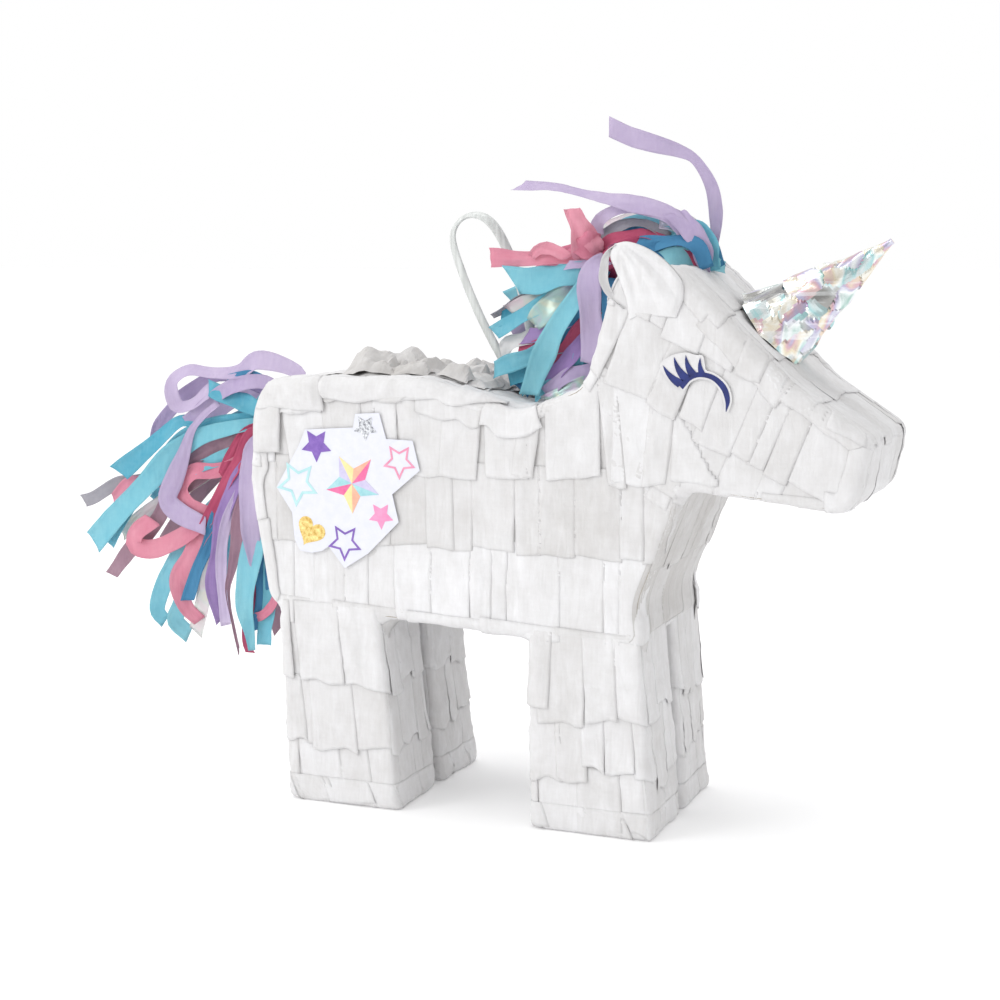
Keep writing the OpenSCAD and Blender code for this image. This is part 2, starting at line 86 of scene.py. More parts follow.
# ---------------------------------------------------------------- noise
class Noise:
    """Smooth value noise in three dimensions, from a seeded lattice."""

    def __init__(self, seed):
        self.table = np.random.default_rng(seed).uniform(-1, 1, (32, 32, 32))

    def __call__(self, points, scale):
        at = np.asarray(points, float) / scale
        cell = np.floor(at).astype(int)
        share = at - cell
        share = share * share * (3 - 2 * share)
        total = 0
        for dx, dy, dz in np.ndindex(2, 2, 2):
            weight = ((share[..., 0] if dx else 1 - share[..., 0])
                      * (share[..., 1] if dy else 1 - share[..., 1])
                      * (share[..., 2] if dz else 1 - share[..., 2]))
            total = total + weight * self.table[
                (cell[..., 0] + dx) % 32, (cell[..., 1] + dy) % 32, (cell[..., 2] + dz) % 32]
        return total


noise_a, noise_b, noise_c = Noise(1), Noise(2), Noise(3)
# Height and size, in mm, of the tissue's soft lumps, sharp creases and fine wrinkles
LUMPS, CREASES, WRINKLES = (0.85, 24), (0.62, 9), (0.2, 3.4)
DIP = 0.28                               # how far the tissue dips below its mean surface


def crinkle(points):
    """Height of crinkled tissue in mm. Its dips are shallow, as the card is right below."""
    height = (LUMPS[0] * noise_a(points, LUMPS[1])
              + CREASES[0] * (0.45 - np.abs(noise_b(points, CREASES[1])) * 2)
              + WRINKLES[0] * (0.5 - np.abs(noise_c(points, WRINKLES[1])) * 2))
    return np.where(height < 0, DIP * np.tanh(height / DIP), height)


def zigzag(phase):
    """A triangle wave from -1 to 1."""
    return np.abs((phase % 1) * 4 - 2) - 1


# ---------------------------------------------------------------- points and lines
def xyz(x, y, z):
    """Points from three numbers or arrays."""
    return np.stack(np.broadcast_arrays(x, y, z), -1)


def unit_rows(v):
    return v / np.maximum(np.linalg.norm(v, axis=-1, keepdims=True), 1e-9)


def run_along(line):
    """The distance along a line at each of its points."""
    return np.concatenate([[0], np.cumsum(np.linalg.norm(np.diff(line, axis=0), axis=1))])


def spread(line, count, endpoint=True):
    """Evenly spaced points along a line."""
    run = run_along(line)
    at = np.linspace(0, run[-1], count, endpoint=endpoint)
    return np.stack([np.interp(at, run, column) for column in line.T], 1)


def smooth_line(points, steps):
    """Catmull-Rom curve through the points."""
    p = np.array(points, float)
    p = np.vstack([2 * p[0] - p[1], p, 2 * p[-1] - p[-2]])
    t = (np.arange(steps) / steps)[:, None]
    pieces = []
    for a, b, c, d in zip(p, p[1:], p[2:], p[3:]):
        pieces.append(0.5 * (2 * b + (c - a) * t + (2 * a - 5 * b + 4 * c - d) * t ** 2
                             + (3 * b - a - 3 * c + d) * t ** 3))
    return np.vstack(pieces + [p[-2:-1]])


def fold(past_edge, radius):
    """The angle through which a sheet bends over an edge, and the length left after it."""
    return (np.clip(past_edge / radius, 0, math.pi / 2),
            np.maximum(past_edge - radius * math.pi / 2, 0))


def between(rows, place):
    """Values between the rows of a closed loop, at fractional places along it."""
    low = np.floor(place).astype(int) % len(rows)
    share = (place - np.floor(place))[..., None]
    return rows[low] * (1 - share) + rows[(low + 1) % len(rows)] * share


# ---------------------------------------------------------------- meshes
class Sheets:
    """Collects grids of points, in mm, into one mesh with a tone and a material each."""

    def __init__(self):
        self.points, self.faces, self.tones, self.slots = [], [], [], []
        self.count = 0

    def grid(self, points, tone=0.5, slot=0, keep=None, closed=False):
        """points is a (rows, columns, 3) array, tone is one number or one for each point,
        and keep marks the points that stay."""
        rows, cols = points.shape[:2]
        index = np.arange(rows * cols).reshape(rows, cols) + self.count
        tone = np.broadcast_to(tone, (rows, cols))
        self.points.append(points.reshape(-1, 3))
        self.count += rows * cols
        across = cols if closed else cols - 1
        for i in range(rows - 1):
            for j in range(across):
                k = (j + 1) % cols
                if keep is not None and not (keep[i, j] or keep[i, k]
                                             or keep[i + 1, j] or keep[i + 1, k]):
                    continue
                self.faces.append((index[i, j], index[i, k], index[i + 1, k],
                                   index[i + 1, j]))
                self.tones.append(tone[i, j])
                self.slots.append(slot)

    def fan(self, rim, tone=0.5, slot=0):
        """One flat face over a closed rim of points."""
        start = self.count
        self.points.append(np.asarray(rim, float))
        self.count += len(rim)
        self.faces.append(tuple(range(start, self.count)))
        self.tones.append(tone)
        self.slots.append(slot)

    def build(self, name, materials, *nodes, slot="white_tissue", body="pinata", thickness=0.0,
              smooth=True):
        """Makes the piece, which rides on the body and stands for the CAD nodes."""
        mesh = bpy.data.meshes.new(name)
        points = np.concatenate(self.points) * MM
        mesh.from_pydata(points.tolist(), [], self.faces)
        for material in materials:
            mesh.materials.append(material)
        tone = mesh.attributes.new("tone", "FLOAT", "FACE")
        tone.data.foreach_set("value", np.array(self.tones, np.float32))
        mesh.polygons.foreach_set("material_index", np.array(self.slots, np.int32))
        mesh.polygons.foreach_set("use_smooth", np.full(len(self.faces), smooth))
        mesh.update()
        drop_loose(mesh)
        piece = bpy.data.objects.new(name, mesh)
        bpy.context.scene.collection.objects.link(piece)
        if thickness:
            solid = piece.modifiers.new("thickness", "SOLIDIFY")
            solid.thickness = thickness * MM
            solid.offset = 0
        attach(piece, body)
        if nodes:
            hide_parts(*nodes)
        return piece


def drop_loose(mesh):
    """Removes the points that no face uses."""
    bm = bmesh.new()
    bm.from_mesh(mesh)
    loose = [v for v in bm.verts if not v.link_faces]
    bmesh.ops.delete(bm, geom=loose, context="VERTS")
    bm.to_mesh(mesh)
    bm.free()


# ---------------------------------------------------------------- the outline
def side_outline():
    """The side panel's outline as [x, z] points about 1 mm apart, clockwise."""
    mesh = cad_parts["right_side_panel"].data
    co = np.array([v.co for v in mesh.vertices]) / MM
    outer = co[:, 1] < co[:, 1].min() + 0.01
    edges = set()
    for face in mesh.polygons:
        ids = list(face.vertices)
        if all(outer[i] for i in ids):
            for a, b in zip(ids, ids[1:] + ids[:1]):
                start, end = tuple(co[a][[0, 2]].round(2)), tuple(co[b][[0, 2]].round(2))
                if (end, start) in edges:
                    edges.remove((end, start))
                else:
                    edges.add((start, end))
    after = dict(sorted(edges))
    loop = [min(after)]
    while after[loop[-1]] != loop[0]:
        loop.append(after[loop[-1]])
    loop = np.array(loop)
    x, z = loop.T
    if np.sum(x * np.roll(z, -1) - np.roll(x, -1) * z) > 0:
        loop = loop[::-1]
    return loop


def resample(loop, spacing):
    """Points at an even spacing along a closed loop, with their outward normals."""
    closed = np.vstack([loop, loop[:1]])
    even = spread(closed, int(run_along(closed)[-1] / spacing), endpoint=False)
    along = np.roll(even, -2, 0) - np.roll(even, 2, 0)
    along /= np.linalg.norm(along, axis=1)[:, None]
    return even, np.stack([-along[:, 1], along[:, 0]], 1)


card_line, card_normal = resample(side_outline(), 1.0)
LINE, NORMAL = resample(card_line + card_normal * TISSUE, 1.0)


def polygon_depth(points, polygon):
    """Distance inside a closed polygon, negative outside, for an array of [x, z] points."""
    flat = points.reshape(-1, 2)
    best = np.full(len(flat), 1e9)
    inside = np.zeros(len(flat), bool)
    for a, b in zip(polygon, np.roll(polygon, -1, 0)):
        edge = b - a
        t = np.clip(((flat - a) @ edge) / (edge @ edge), 0, 1)
        best = np.minimum(best, np.linalg.norm(flat - a - t[:, None] * edge, axis=1))
        crosses = (a[1] > flat[:, 1]) != (b[1] > flat[:, 1])
        if edge[1]:
            inside ^= crosses & (flat[:, 0] < a[0] + edge[0] * (flat[:, 1] - a[1]) / edge[1])
    return np.where(inside, best, -best).reshape(points.shape[:-1])


class LegShape:
    """One leg: a tapered box with rounded corners, measured from its card node."""

    def __init__(self, name):
        co = np.array([v.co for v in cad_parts[name].data.vertices]) / MM
        low = co[co[:, 2] < co[:, 2].min() + 0.1]
        high = co[co[:, 2] > 60]
        self.foot = low[:, 0].min() - TISSUE, low[:, 0].max() + TISSUE
        top_rear, top_front = high[high[:, 0].argmin()], high[high[:, 0].argmax()]
        self.top = top_rear[0] - TISSUE, top_front[0] + TISSUE
        self.top_z = (top_rear[2] + top_front[2]) / 2
        self.y = (co[:, 1].min() + co[:, 1].max()) / 2
        self.half_y = (co[:, 1].max() - co[:, 1].min()) / 2 + TISSUE
        self.half_x = (self.foot[1] - self.foot[0] + self.top[1] - self.top[0]) / 4
        self.ring, self.ring_n = self.rounded_ring()
        self.around = len(self.ring) * RING_STEP

    def rounded_ring(self):
        """The leg's outline from above, from the middle of its outer face."""
        a, b, r = self.half_x, self.half_y, LEG_EDGE_R
        points = [(0, -b)]
        for x, y, start in ((1, -1, -90), (1, 1, 0), (-1, 1, 90), (-1, -1, 180)):
            for k in range(9):
                angle = math.radians(start + k * 90 / 8)
                points.append((x * (a - r) + r * math.cos(angle),
                               y * (b - r) + r * math.sin(angle)))
        ring, normal = resample(np.array(points)[::-1], RING_STEP)
        return ring[::-1], normal[::-1]

    def ends(self, z):
        t = np.clip(z / self.top_z, 0, 1.1)
        return (self.foot[0] + (self.top[0] - self.foot[0]) * t,
                self.foot[1] + (self.top[1] - self.foot[1]) * t)

    def outline(self):
        return np.array([[self.foot[0], -10], [self.top[0], self.top_z + 8],
                         [self.top[1], self.top_z + 8], [self.foot[1], -10]])

    def place(self, u, z, lift):
        """Points at u mm around the leg and z mm up; below zero it turns under the foot."""
        k = (np.asarray(u, float) / RING_STEP) % len(self.ring)
        p, n = between(self.ring, k), between(self.ring_n, k)
        turn, past = fold(FOOT_R - z, FOOT_R)
        inset = np.where(z < FOOT_R, FOOT_R * (1 - np.cos(turn)), 0) + past
        height = np.where(z < FOOT_R, FOOT_R * (1 - np.sin(turn)), z)
        height = height + FOOT_GAP - lift * np.sin(turn)
        out = lift * np.cos(turn)
        rear, front = self.ends(height)
        half = (front - rear) / 2
        x = (rear + front) / 2 + p[..., 0] * (half - inset) / self.half_x + n[..., 0] * out
        y = self.y + p[..., 1] * (self.half_y - inset) / self.half_y + n[..., 1] * out
        return xyz(x, y, np.maximum(height, 0.1))


FOOT_R = 2.5                             # roundness of the tissue under a foot
FOOT_GAP = 0.15                          # room between the tissue and the floor
LEG_EDGE_R = 2.3                         # roundness of a leg's upright edges
RING_STEP = 0.5                          # spacing of the points round a leg
LEG_NAMES = ["front_right_leg", "front_left_leg", "rear_right_leg", "rear_left_leg"]
legs = {name: LegShape(name) for name in LEG_NAMES}


class Silhouette:
    """Depth inside the side view of the body and its legs, from a grid 1 mm apart."""

    def __init__(self, body, leg_shapes, blend=5.0):
        self.low = np.array([body[:, 0].min() - 14, -14.0])
        high = np.array([body[:, 0].max() + 14, body[:, 1].max() + 14])
        xs = np.arange(self.low[0], high[0])
        zs = np.arange(self.low[1], high[1])
        grid = np.stack(np.meshgrid(xs, zs, indexing="ij"), -1)
        depth = polygon_depth(grid, body)
        for shape in leg_shapes:
            other = polygon_depth(grid, shape)
            near = np.maximum(blend - np.abs(depth - other), 0) / blend
            depth = np.maximum(depth, other) + near * near * blend / 4
        gx, gz = np.gradient(depth)
        self.layers = np.stack([depth, gx, gz], -1)

    def __call__(self, points):
        """Depth of [x, z] points inside the edge, and the outward direction there."""
        grid = self.layers
        at = np.clip(points - self.low, 0, np.array(grid.shape[:2]) - 1.001)
        cell = np.floor(at).astype(int)
        fx, fz = (at - cell)[..., :1], (at - cell)[..., 1:]
        i, j = cell[..., 0], cell[..., 1]
        mixed = ((grid[i, j] * (1 - fx) + grid[i + 1, j] * fx) * (1 - fz)
                 + (grid[i, j + 1] * (1 - fx) + grid[i + 1, j + 1] * fx) * fz)
        n = -mixed[..., 1:]
        n /= np.maximum(np.linalg.norm(n, axis=-1, keepdims=True), 1e-6)
        return mixed[..., 0], n


silhouette = Silhouette(LINE[::2], [legs[n].outline() for n in LEG_NAMES if "right" in n])


def on_side(points, lift, side):
    """Lays [x, z] points on one side, folded over its rounded edge. Returns depth too."""
    d, n = silhouette(points)
    turn, past = fold(EDGE_R - d, EDGE_R)
    step = np.where(d < EDGE_R, d - EDGE_R + (EDGE_R + lift) * np.sin(turn), 0)
    xz = points + n * step[..., None]
    y = np.where(d < EDGE_R, SKIN - EDGE_R + (EDGE_R + lift) * np.cos(turn) - past,
                 SKIN + lift)
    return xyz(xz[..., 0], side * y, xz[..., 1]), d


def on_gusset(s, w, lift):
    """Lays points at distance s along the outline and w across, over both edges."""
    k = np.asarray(s, float) % len(LINE)
    p, n = between(LINE, k), between(NORMAL, k)
    straight = SKIN - EDGE_R
    across = np.abs(w)
    turn, past = fold(across - straight, EDGE_R)
    out = (EDGE_R + lift) * np.cos(turn) - EDGE_R - past
    y = np.where(across > straight, straight + (EDGE_R + lift) * np.sin(turn), across)
    xz = p + n * out[..., None]
    return xyz(xz[..., 0], np.sign(w) * y, xz[..., 1])


def outline_s(dx, dz):
    """Distance along the outline of its point nearest to (dx, dz) off the rump's top."""
    gap = LINE - np.array([RUMP_X + dx, BACK_Z + dz])
    return float(np.argmin((gap ** 2).sum(1)))


# ---------------------------------------------------------------- materials
def linear(*rgb):
    """Linear colour from 0-255 screen values."""
    unit = np.array(rgb) / 255
    return (*np.where(unit <= 0.04045, unit / 12.92, ((unit + 0.055) / 1.055) ** 2.4), 1.0)


class Nodes:
    """A new material's node tree, with short calls to add and link its nodes."""

    def __init__(self, name):
        self.material = bpy.data.materials.new(name)
        self.material.use_nodes = True
        self.tree = self.material.node_tree
        self.shader = self.tree.nodes["Principled BSDF"]

    def add(self, kind, inputs=None, **settings):
        node = self.tree.nodes.new("ShaderNode" + kind)
        for key, value in settings.items():
            setattr(node, key, value)
        for key, value in (inputs or {}).items():
            self.feed(node.inputs[key], value)
        return node

    def feed(self, socket, value):
        """Links an output to the socket, or gives it a constant."""
        if isinstance(value, bpy.types.NodeSocket):
            self.tree.links.new(value, socket)
        else:
            socket.default_value = value

    def set(self, **values):
        """Sets the shader's inputs, with _ for a space."""
        for key, value in values.items():
            self.feed(self.shader.inputs[key.replace("_", " ")], value)

    def coords(self, scale):
        """Object coordinates stretched by scale: one number per metre, or three."""
        scale = scale if isinstance(scale, tuple) else (scale, scale, scale)
        place = self.add("TexCoord")
        return self.add("Mapping", {"Vector": place.outputs["Object"],
                                    "Scale": scale}).outputs["Vector"]

    def noise(self, scale, detail=3.0, roughness=0.55, distortion=0.0):
        return self.add("TexNoise", {"Vector": self.coords(scale), "Scale": 1.0,
                                     "Detail": detail, "Roughness": roughness,
                                     "Distortion": distortion}).outputs["Fac"]

    def ramp(self, factor, stops):
        """Colours along a factor, each a position and 0-255 screen values."""
        node = self.add("ValToRGB", {"Fac": factor})
        points = node.color_ramp.elements
        while len(points) < len(stops):
            points.new(0.5)
        for point, (position, colour) in zip(points, stops):
            point.position, point.color = position, linear(*colour)
        return node.outputs["Color"]

    def math(self, operation, a, b):
        return self.add("Math", {0: a, 1: b}, operation=operation).outputs[0]

    def weighted(self, *terms):
        """The sum of some values, each times its weight."""
        parts = [self.math("MULTIPLY", value, weight) for value, weight in terms]
        total = parts[0]
        for part in parts[1:]:
            total = self.math("ADD", total, part)
        return total

    def mix(self, factor, a, b):
        node = self.add("Mix", data_type="RGBA")
        for key, value in (("Factor_Float", factor), ("A_Color", a), ("B_Color", b)):
            socket = next(s for s in node.inputs if s.identifier == key)
            self.feed(socket, value)
        return next(s for s in node.outputs if s.identifier == "Result_Color")

    def tone(self):
        return self.add("Attribute", attribute_name="tone").outputs["Fac"]

    def bump(self, height, strength, distance):
        bump = self.add("Bump", {"Height": height, "Strength": strength,
                                 "Distance": distance * MM})
        self.set(Normal=bump.outputs["Normal"])


def tissue(name, dark, light, alpha=1.0):
    """Crepe tissue: soft mottling, upright wrinkles with painted shade in their creases, faint fibres,
    a tone for each strip.
    """
    m = Nodes(name)
    mottle = m.noise(70, detail=5, roughness=0.65)
    fold = m.noise((210, 210, 44), detail=3, roughness=0.6, distortion=0.4)
    ridge = m.math("ABSOLUTE", m.math("SUBTRACT", fold, 0.5), 0.0)
    fibres = m.weighted((m.noise((900, 900, 120), detail=2), 0.6),
                     (m.noise((160, 160, 1000), detail=2), 0.4))
    # Where the ridge noise is low the colour is darker: painted shade along the wrinkles' creases.
    shade = m.weighted((mottle, 0.36), (m.tone(), 0.6), (m.math("SUBTRACT", fibres, 0.5), 0.17),
                    (m.math("SUBTRACT", ridge, 0.08), 0.4))
    m.set(Base_Color=m.ramp(shade, [(0.13, dark), (0.73, light)]), Roughness=0.82,
          Alpha=alpha, Specular_IOR_Level=0.25)
    grain = m.noise(1500, detail=2)
    m.bump(m.weighted((fibres, 0.25), (grain, 0.15), (ridge, 1.6)), 0.6, 0.45)
    return m.material


def iridescent(name, colours, alpha):
    """Thin film whose tint drifts between pastel colours."""
    m = Nodes(name)
    drift = m.noise((60, 60, 80), detail=2, distortion=1.2)
    shade = m.weighted((drift, 0.9), (m.tone(), 0.3))
    stops = [(0.28 + 0.5 * k / (len(colours) - 1), c) for k, c in enumerate(colours)]
    m.set(Base_Color=m.ramp(shade, stops), Roughness=0.3, Metallic=0.3, Alpha=alpha)
    m.bump(m.noise(220, detail=2), 0.35, 0.6)
    return m.material


def foil(name):
    """Holographic foil: patches of rainbow over silver, with light and dark painted reflection and
    streaks of painted highlight.
    """
    m = Nodes(name)
    drift = m.noise((75, 75, 40), detail=2, roughness=0.45, distortion=0.9)
    shade = m.weighted((drift, 0.8), (m.tone(), 0.34))
    # The grey and white stops of this ramp are painted reflection; the tinted ones are the foil's
    # rainbow.
    rainbow_and_reflection = m.ramp(shade, [
        (0.05, (112, 113, 116)), (0.24, (168, 167, 164)),
        (0.36, (214, 220, 220)), (0.43, (166, 206, 208)),
        (0.49, (240, 242, 238)), (0.56, (226, 214, 190)),
        (0.61, (212, 176, 186)), (0.66, (188, 184, 210)),
        (0.72, (240, 244, 244)), (0.79, (168, 200, 192)),
        (0.86, (226, 226, 222)), (1.0, (128, 128, 130))])
    # Streaks of painted highlight that lighten the colour towards silver white.
    streak = m.noise((40, 40, 420), detail=2, distortion=0.6)
    glint = m.add("MapRange", {"Value": streak, "From Min": 0.56, "From Max": 0.66,
                               "To Max": 0.5}).outputs["Result"]
    m.set(Base_Color=m.mix(glint, rainbow_and_reflection, (0.9, 0.92, 0.93, 1)), Metallic=1.0,
          Roughness=m.math("ADD", 0.14, m.math("MULTIPLY", m.noise(200), 0.2)))
    m.bump(m.noise(170, detail=2, distortion=0.8), 0.3, 0.7)
    return m.material


def cardboard(name):
    """Grey board with pressed fibres and flecks."""
    m = Nodes(name)
    fleck = m.noise((500, 500, 120), detail=5, roughness=0.7)
    m.set(Base_Color=m.ramp(fleck, [(0.3, (136, 126, 112)), (0.55, (166, 156, 140)),
                                    (0.75, (188, 180, 166))]), Roughness=0.9,
          Specular_IOR_Level=0.2)
    m.bump(m.noise((900, 900, 200), detail=4), 0.4, 0.2)
    return m.material


def timber(name):
    """Pale wood with a straight grain."""
    m = Nodes(name)
    grain = m.noise((700, 60, 700), detail=4, distortion=0.6)
    m.set(Base_Color=m.ramp(grain, [(0.3, (176, 138, 92)), (0.7, (222, 192, 146))]),
          Roughness=0.6)
    m.bump(grain, 0.3, 0.15)
    return m.material


def strap_plastic(name):
    """Milky plastic strap with faint lengthwise streaks."""
    m = Nodes(name)
    streak = m.noise((700, 700, 40), detail=3)
    m.set(Base_Color=m.ramp(streak, [(0.3, (192, 195, 193)), (0.7, (226, 229, 227))]),
          Roughness=0.34, Alpha=0.93, Coat_Weight=0.25, Coat_Roughness=0.2)
    m.bump(streak, 0.25, 0.15)
    return m.material


def print_ink(name, dark, light, metallic=0.0, roughness=0.5, grain=260):
    """Printed colour on sticker paper, with a slight unevenness."""
    m = Nodes(name)
    fleck = m.noise(grain, detail=4, roughness=0.65)
    m.set(Base_Color=m.ramp(fleck, [(0.35, dark), (0.62, light)]), Roughness=roughness,
          Metallic=metallic)
    m.bump(m.noise(800, detail=2), 0.15, 0.05)
    return m.material


WHITE = tissue("white_tissue", (190, 187, 184), (236, 236, 238))
TINTED = {  # Each streamer tissue's darker and lighter colour, and how far it covers
    "aqua": ("aqua_tissue", (62, 160, 190), (146, 208, 220), 0.86),
    "lilac": ("lilac_tissue", (164, 144, 190), (208, 194, 220), 0.84),
    "pink": ("pink_tissue", (204, 104, 134), (232, 164, 180), 0.86),
    "crimson": ("crimson_tissue", (158, 58, 92), (202, 98, 126), 0.92),
    "mauve": ("mauve_tissue", (140, 104, 124), (180, 150, 162), 0.88),
    "blue": ("deep_blue_tissue", (52, 104, 148), (84, 148, 186), 0.92),
    "purple": ("purple_tissue", (122, 94, 160), (176, 150, 200), 0.88),
    "grey": ("grey_tissue", (132, 132, 142), (184, 180, 188), 0.86)}
STREAMERS = {key: tissue(*look) for key, look in TINTED.items()}
STREAMERS["film"] = iridescent("iridescent_film", [(206, 184, 216), (236, 228, 200),
                                                   (190, 222, 216), (216, 190, 220)], 0.6)
STREAMERS["cream"] = iridescent("cream_film", [(232, 222, 196), (214, 218, 214),
                                               (226, 200, 212)], 0.7)
STREAMERS["white"] = WHITE
FOIL = foil("holographic_foil")
CARD = cardboard("grey_board")
WOOD = timber("toggle_wood")
STRAP = strap_plastic("clear_strap")


# ---------------------------------------------------------------- hanging strap
TOGGLE_LO, TOGGLE_HI = mm_box("loop_toggle")
LOOP_X = (TOGGLE_LO[0] + TOGGLE_HI[0]) / 2
LOOP_D = 4.0                             # width of the strap
STRAND_Y = 3.0                           # from the middle to where each strand goes in
LOOP_TOP = 74                            # from the hole up to the loop's highest point
HOLE_Z = mm_box("hanging_loop")[1][2] - LOOP_D / 2 - LOOP_TOP
# The loop from the hole and back to it, [x, y, z] off the middle of the hole
LOOP_ROUTE = [
    (0, -3, 4), (-5, -3, 10), (-11, -2, 18), (-20, -2, 34), (-28, -1, 51), (-32, -1, 64),
    (-30, 0, 71), (-24, 0, 74), (-17, 0, 72), (-11, 1, 64), (-4, 2, 47), (1, 2, 27),
    (2, 3, 14), (0, 3, 4)]


def strap():
    """The clear plastic strap: a flattened tube that turns a little over its top."""
    above = smooth_line(LOOP_ROUTE, 8) + [LOOP_X, 0, HOLE_Z]
    toggle_z = TOGGLE_LO[2] + (TOGGLE_HI[2] - TOGGLE_LO[2]) / 2 + 1
    path = np.vstack([[LOOP_X, -STRAND_Y, toggle_z], above, [LOOP_X, STRAND_Y, toggle_z]])
    along = unit_rows(np.gradient(path, axis=0))
    flat = unit_rows(np.cross(along, [0, 1.0, 0]))
    share = np.linspace(0, 1, len(path))
    twist = 0.25 + 0.9 * np.exp(-((share - 0.5) / 0.12) ** 2)
    thin = np.cross(flat, along)
    wide_way = flat * np.cos(twist)[:, None] + thin * np.sin(twist)[:, None]
    thin_way = np.cross(wide_way, along)
    sheets = Sheets()
    angle = np.linspace(0, 2 * math.pi, 14, endpoint=False)
    wide, thick = LOOP_D / 2, 0.95
    rings = (path[:, None] + wide_way[:, None] * (wide * np.cos(angle))[None, :, None]
             + thin_way[:, None] * (thick * np.sin(angle))[None, :, None])
    sheets.grid(rings, closed=True)
    sheets.fan(rings[0][::-1])
    sheets.fan(rings[-1])
    piece = sheets.build("hanging_strap", [STRAP], "hanging_loop", slot="clear_strap")


# ---------------------------------------------------------------- tissue fringe
HIP = RUMP_X + 44, BACK_Z - 42           # middle of the sticker sheet on the rump
EYE = RUMP_X + 188, BACK_Z - 6           # centre of the closed eye's arc
STICKER_LIFT = 1.2                       # of the stickers' paper, over the tissue
UNDER = -0.3                             # lift of the first layer, on the card
LEG_UNDER = -0.15                        # the same on the legs
HIP_STILL, EYE_STILL, FADE = 30, 13, 9   # radii of the flat tissue, and of its fading edge


def calm(xz):
    """Under a sticker the tissue is pressed flat: 1 well away from one, 0 under it."""
    hip = np.hypot(xz[..., 0] - HIP[0], xz[..., 1] - HIP[1]) - HIP_STILL
    eye = np.hypot(xz[..., 0] - EYE[0], xz[..., 1] - EYE[1] - 9) - EYE_STILL
    return np.clip(np.minimum(hip, eye) / FADE, 0, 1)


def crinkled(place, u, v, lift, amount=1.0):
    """Lifts a placed sheet by the crinkle at each of its points."""
    points = place(u, v, lift)[0]
    rough = crinkle(points)
    rough = np.where(rough > 0, rough * amount, rough)
    near = calm(points[..., [0, 2]])
    rough = rough * (0.25 + 0.75 * near)
    rise = np.where(near < 1, np.minimum(lift + rough, STICKER_LIFT - 0.35 + near), lift + rough)
    return place(u, v, rise)


STRIP_STEP = 1.4                         # spacing of a strip's points
CUT_DEPTH = -5.5                         # depth inside the outline where a strip is cut off


def tabs(sheets, place, u_range, v_range, width=(8, 22), base=0.0, rise=0.45, lean=0.0,
         ragged=0.6, gap=(-0.9, 0.3), amount=1.0, tones=(0.44, 0.64), tilt=0.03):
    """One row of fringe: strips side by side along u that hang from v's start to its end.

    width, gap and tones are ranges for a strip's width, for the gap to the next one and for
    its tone. base and rise are a strip's lift at its root and what its end adds, lean and
    tilt are its slant and how far that varies, ragged is how uneven its end is, and amount
    scales the crinkle."""
    u = u_range[0]
    down = np.sign(v_range[1] - v_range[0])
    while u < u_range[1]:
        wide = RNG.uniform(*width)
        gutter, tone = RNG.uniform(*gap), RNG.uniform(*tones)
        own_lean, own_rise = lean + RNG.normal(0, tilt), rise * RNG.uniform(0.5, 1.2)
        own_base = base + RNG.uniform(-0.045, 0.045)
        end = v_range[1] + RNG.normal(0, ragged)
        slant, curl = RNG.normal(0, 0.06), max(0.0, RNG.normal(-0.12, 0.22))
        columns = max(3, int(round(wide / STRIP_STEP)) + 1)
        rows = max(3, int(round(abs(end - v_range[0]) / STRIP_STEP)) + 1)
        t = np.linspace(0, 1, rows)[:, None]
        side = np.linspace(-1, 1, columns)[None, :]
        open_at = RNG.uniform(0.1, 1.1)
        half = wide / 2 + 0.4 - (0.4 + gutter / 2) * np.clip((t - open_at) / 0.3, 0, 1)
        across = u + wide / 2 + side * half
        torn = ragged * noise_a(xyz(across, base * 90, 0), 6)
        v = v_range[0] + t * (end - v_range[0]) + (slant * side * wide / 2 + torn) * t
        across = across + own_lean * (v - v_range[0]) * down
        lift = own_base + own_rise * t ** 1.6 + curl * t * side ** 4
        points, d = crinkled(place, across, v, lift, amount)
        sheets.grid(points, tone=tone, keep=d > CUT_DEPTH)
        u += wide


def side_place(side, origin, along, down, clip=None):
    """Places (u, v) on one side, along a row's direction and down its strips."""
    origin, along, down = np.array(origin), np.array(along), np.array(down)

    def place(u, v, lift):
        xz = origin + np.asarray(u)[..., None] * along + np.asarray(v)[..., None] * down
        points, d = on_side(xz, lift, side)
        if clip is not None:
            d = np.minimum(d, clip(xz))
        return points, d
    return place


NECK_FOOT = np.array([RUMP_X + 181, BACK_Z - 38])     # the neck line, throat to nape
NECK_HEAD = np.array([RUMP_X + 150, BACK_Z + 14])
neck_way = (NECK_HEAD - NECK_FOOT) / np.linalg.norm(NECK_HEAD - NECK_FOOT)


def past_neck(xz, margin):
    """Distance in front of the neck line, plus a margin."""
    off = xz - NECK_FOOT
    return off[..., 0] * neck_way[1] - off[..., 1] * neck_way[0] + margin


def torso_rows(side, name):
    """Three rows of upright fringe along the body. The upper ones lie over the lower."""
    z_top, z_mid, z_low = BACK_Z + 5, BACK_Z - 34, BACK_Z - 64

    def body(xz):
        return -past_neck(xz, 0) + 9

    # Each row's top, foot, lift, rise, ragged, tilt and tones, as tabs takes them
    rows = [("belly", z_low + 4, BACK_Z - 98, -0.05, 0.3, 0.9, 0.02, (0.56, 0.74)),
            ("flank", z_mid + 4, z_low - 1, 0.02, 0.35, 0.6, 0.02, (0.32, 0.5)),
            ("shoulder", z_top, z_mid - 1, 0.12, 0.5, 1.0, 0.07, (0.46, 0.68))]
    for row, start, end, base, rise, ragged, tilt, tones in rows:
        sheets = Sheets()
        place = side_place(side, (RUMP_X - 8, 0), (1, 0), (0, 1), body)
        tabs(sheets, place, (0, 205), (start, end), width=(6, 22), base=base, rise=rise,
             lean=0.01, ragged=ragged, tilt=tilt, tones=tones)
        sheets.build(f"{name}_{row}_fringe", [WHITE], f"{name}_{row}_row", thickness=0.1)


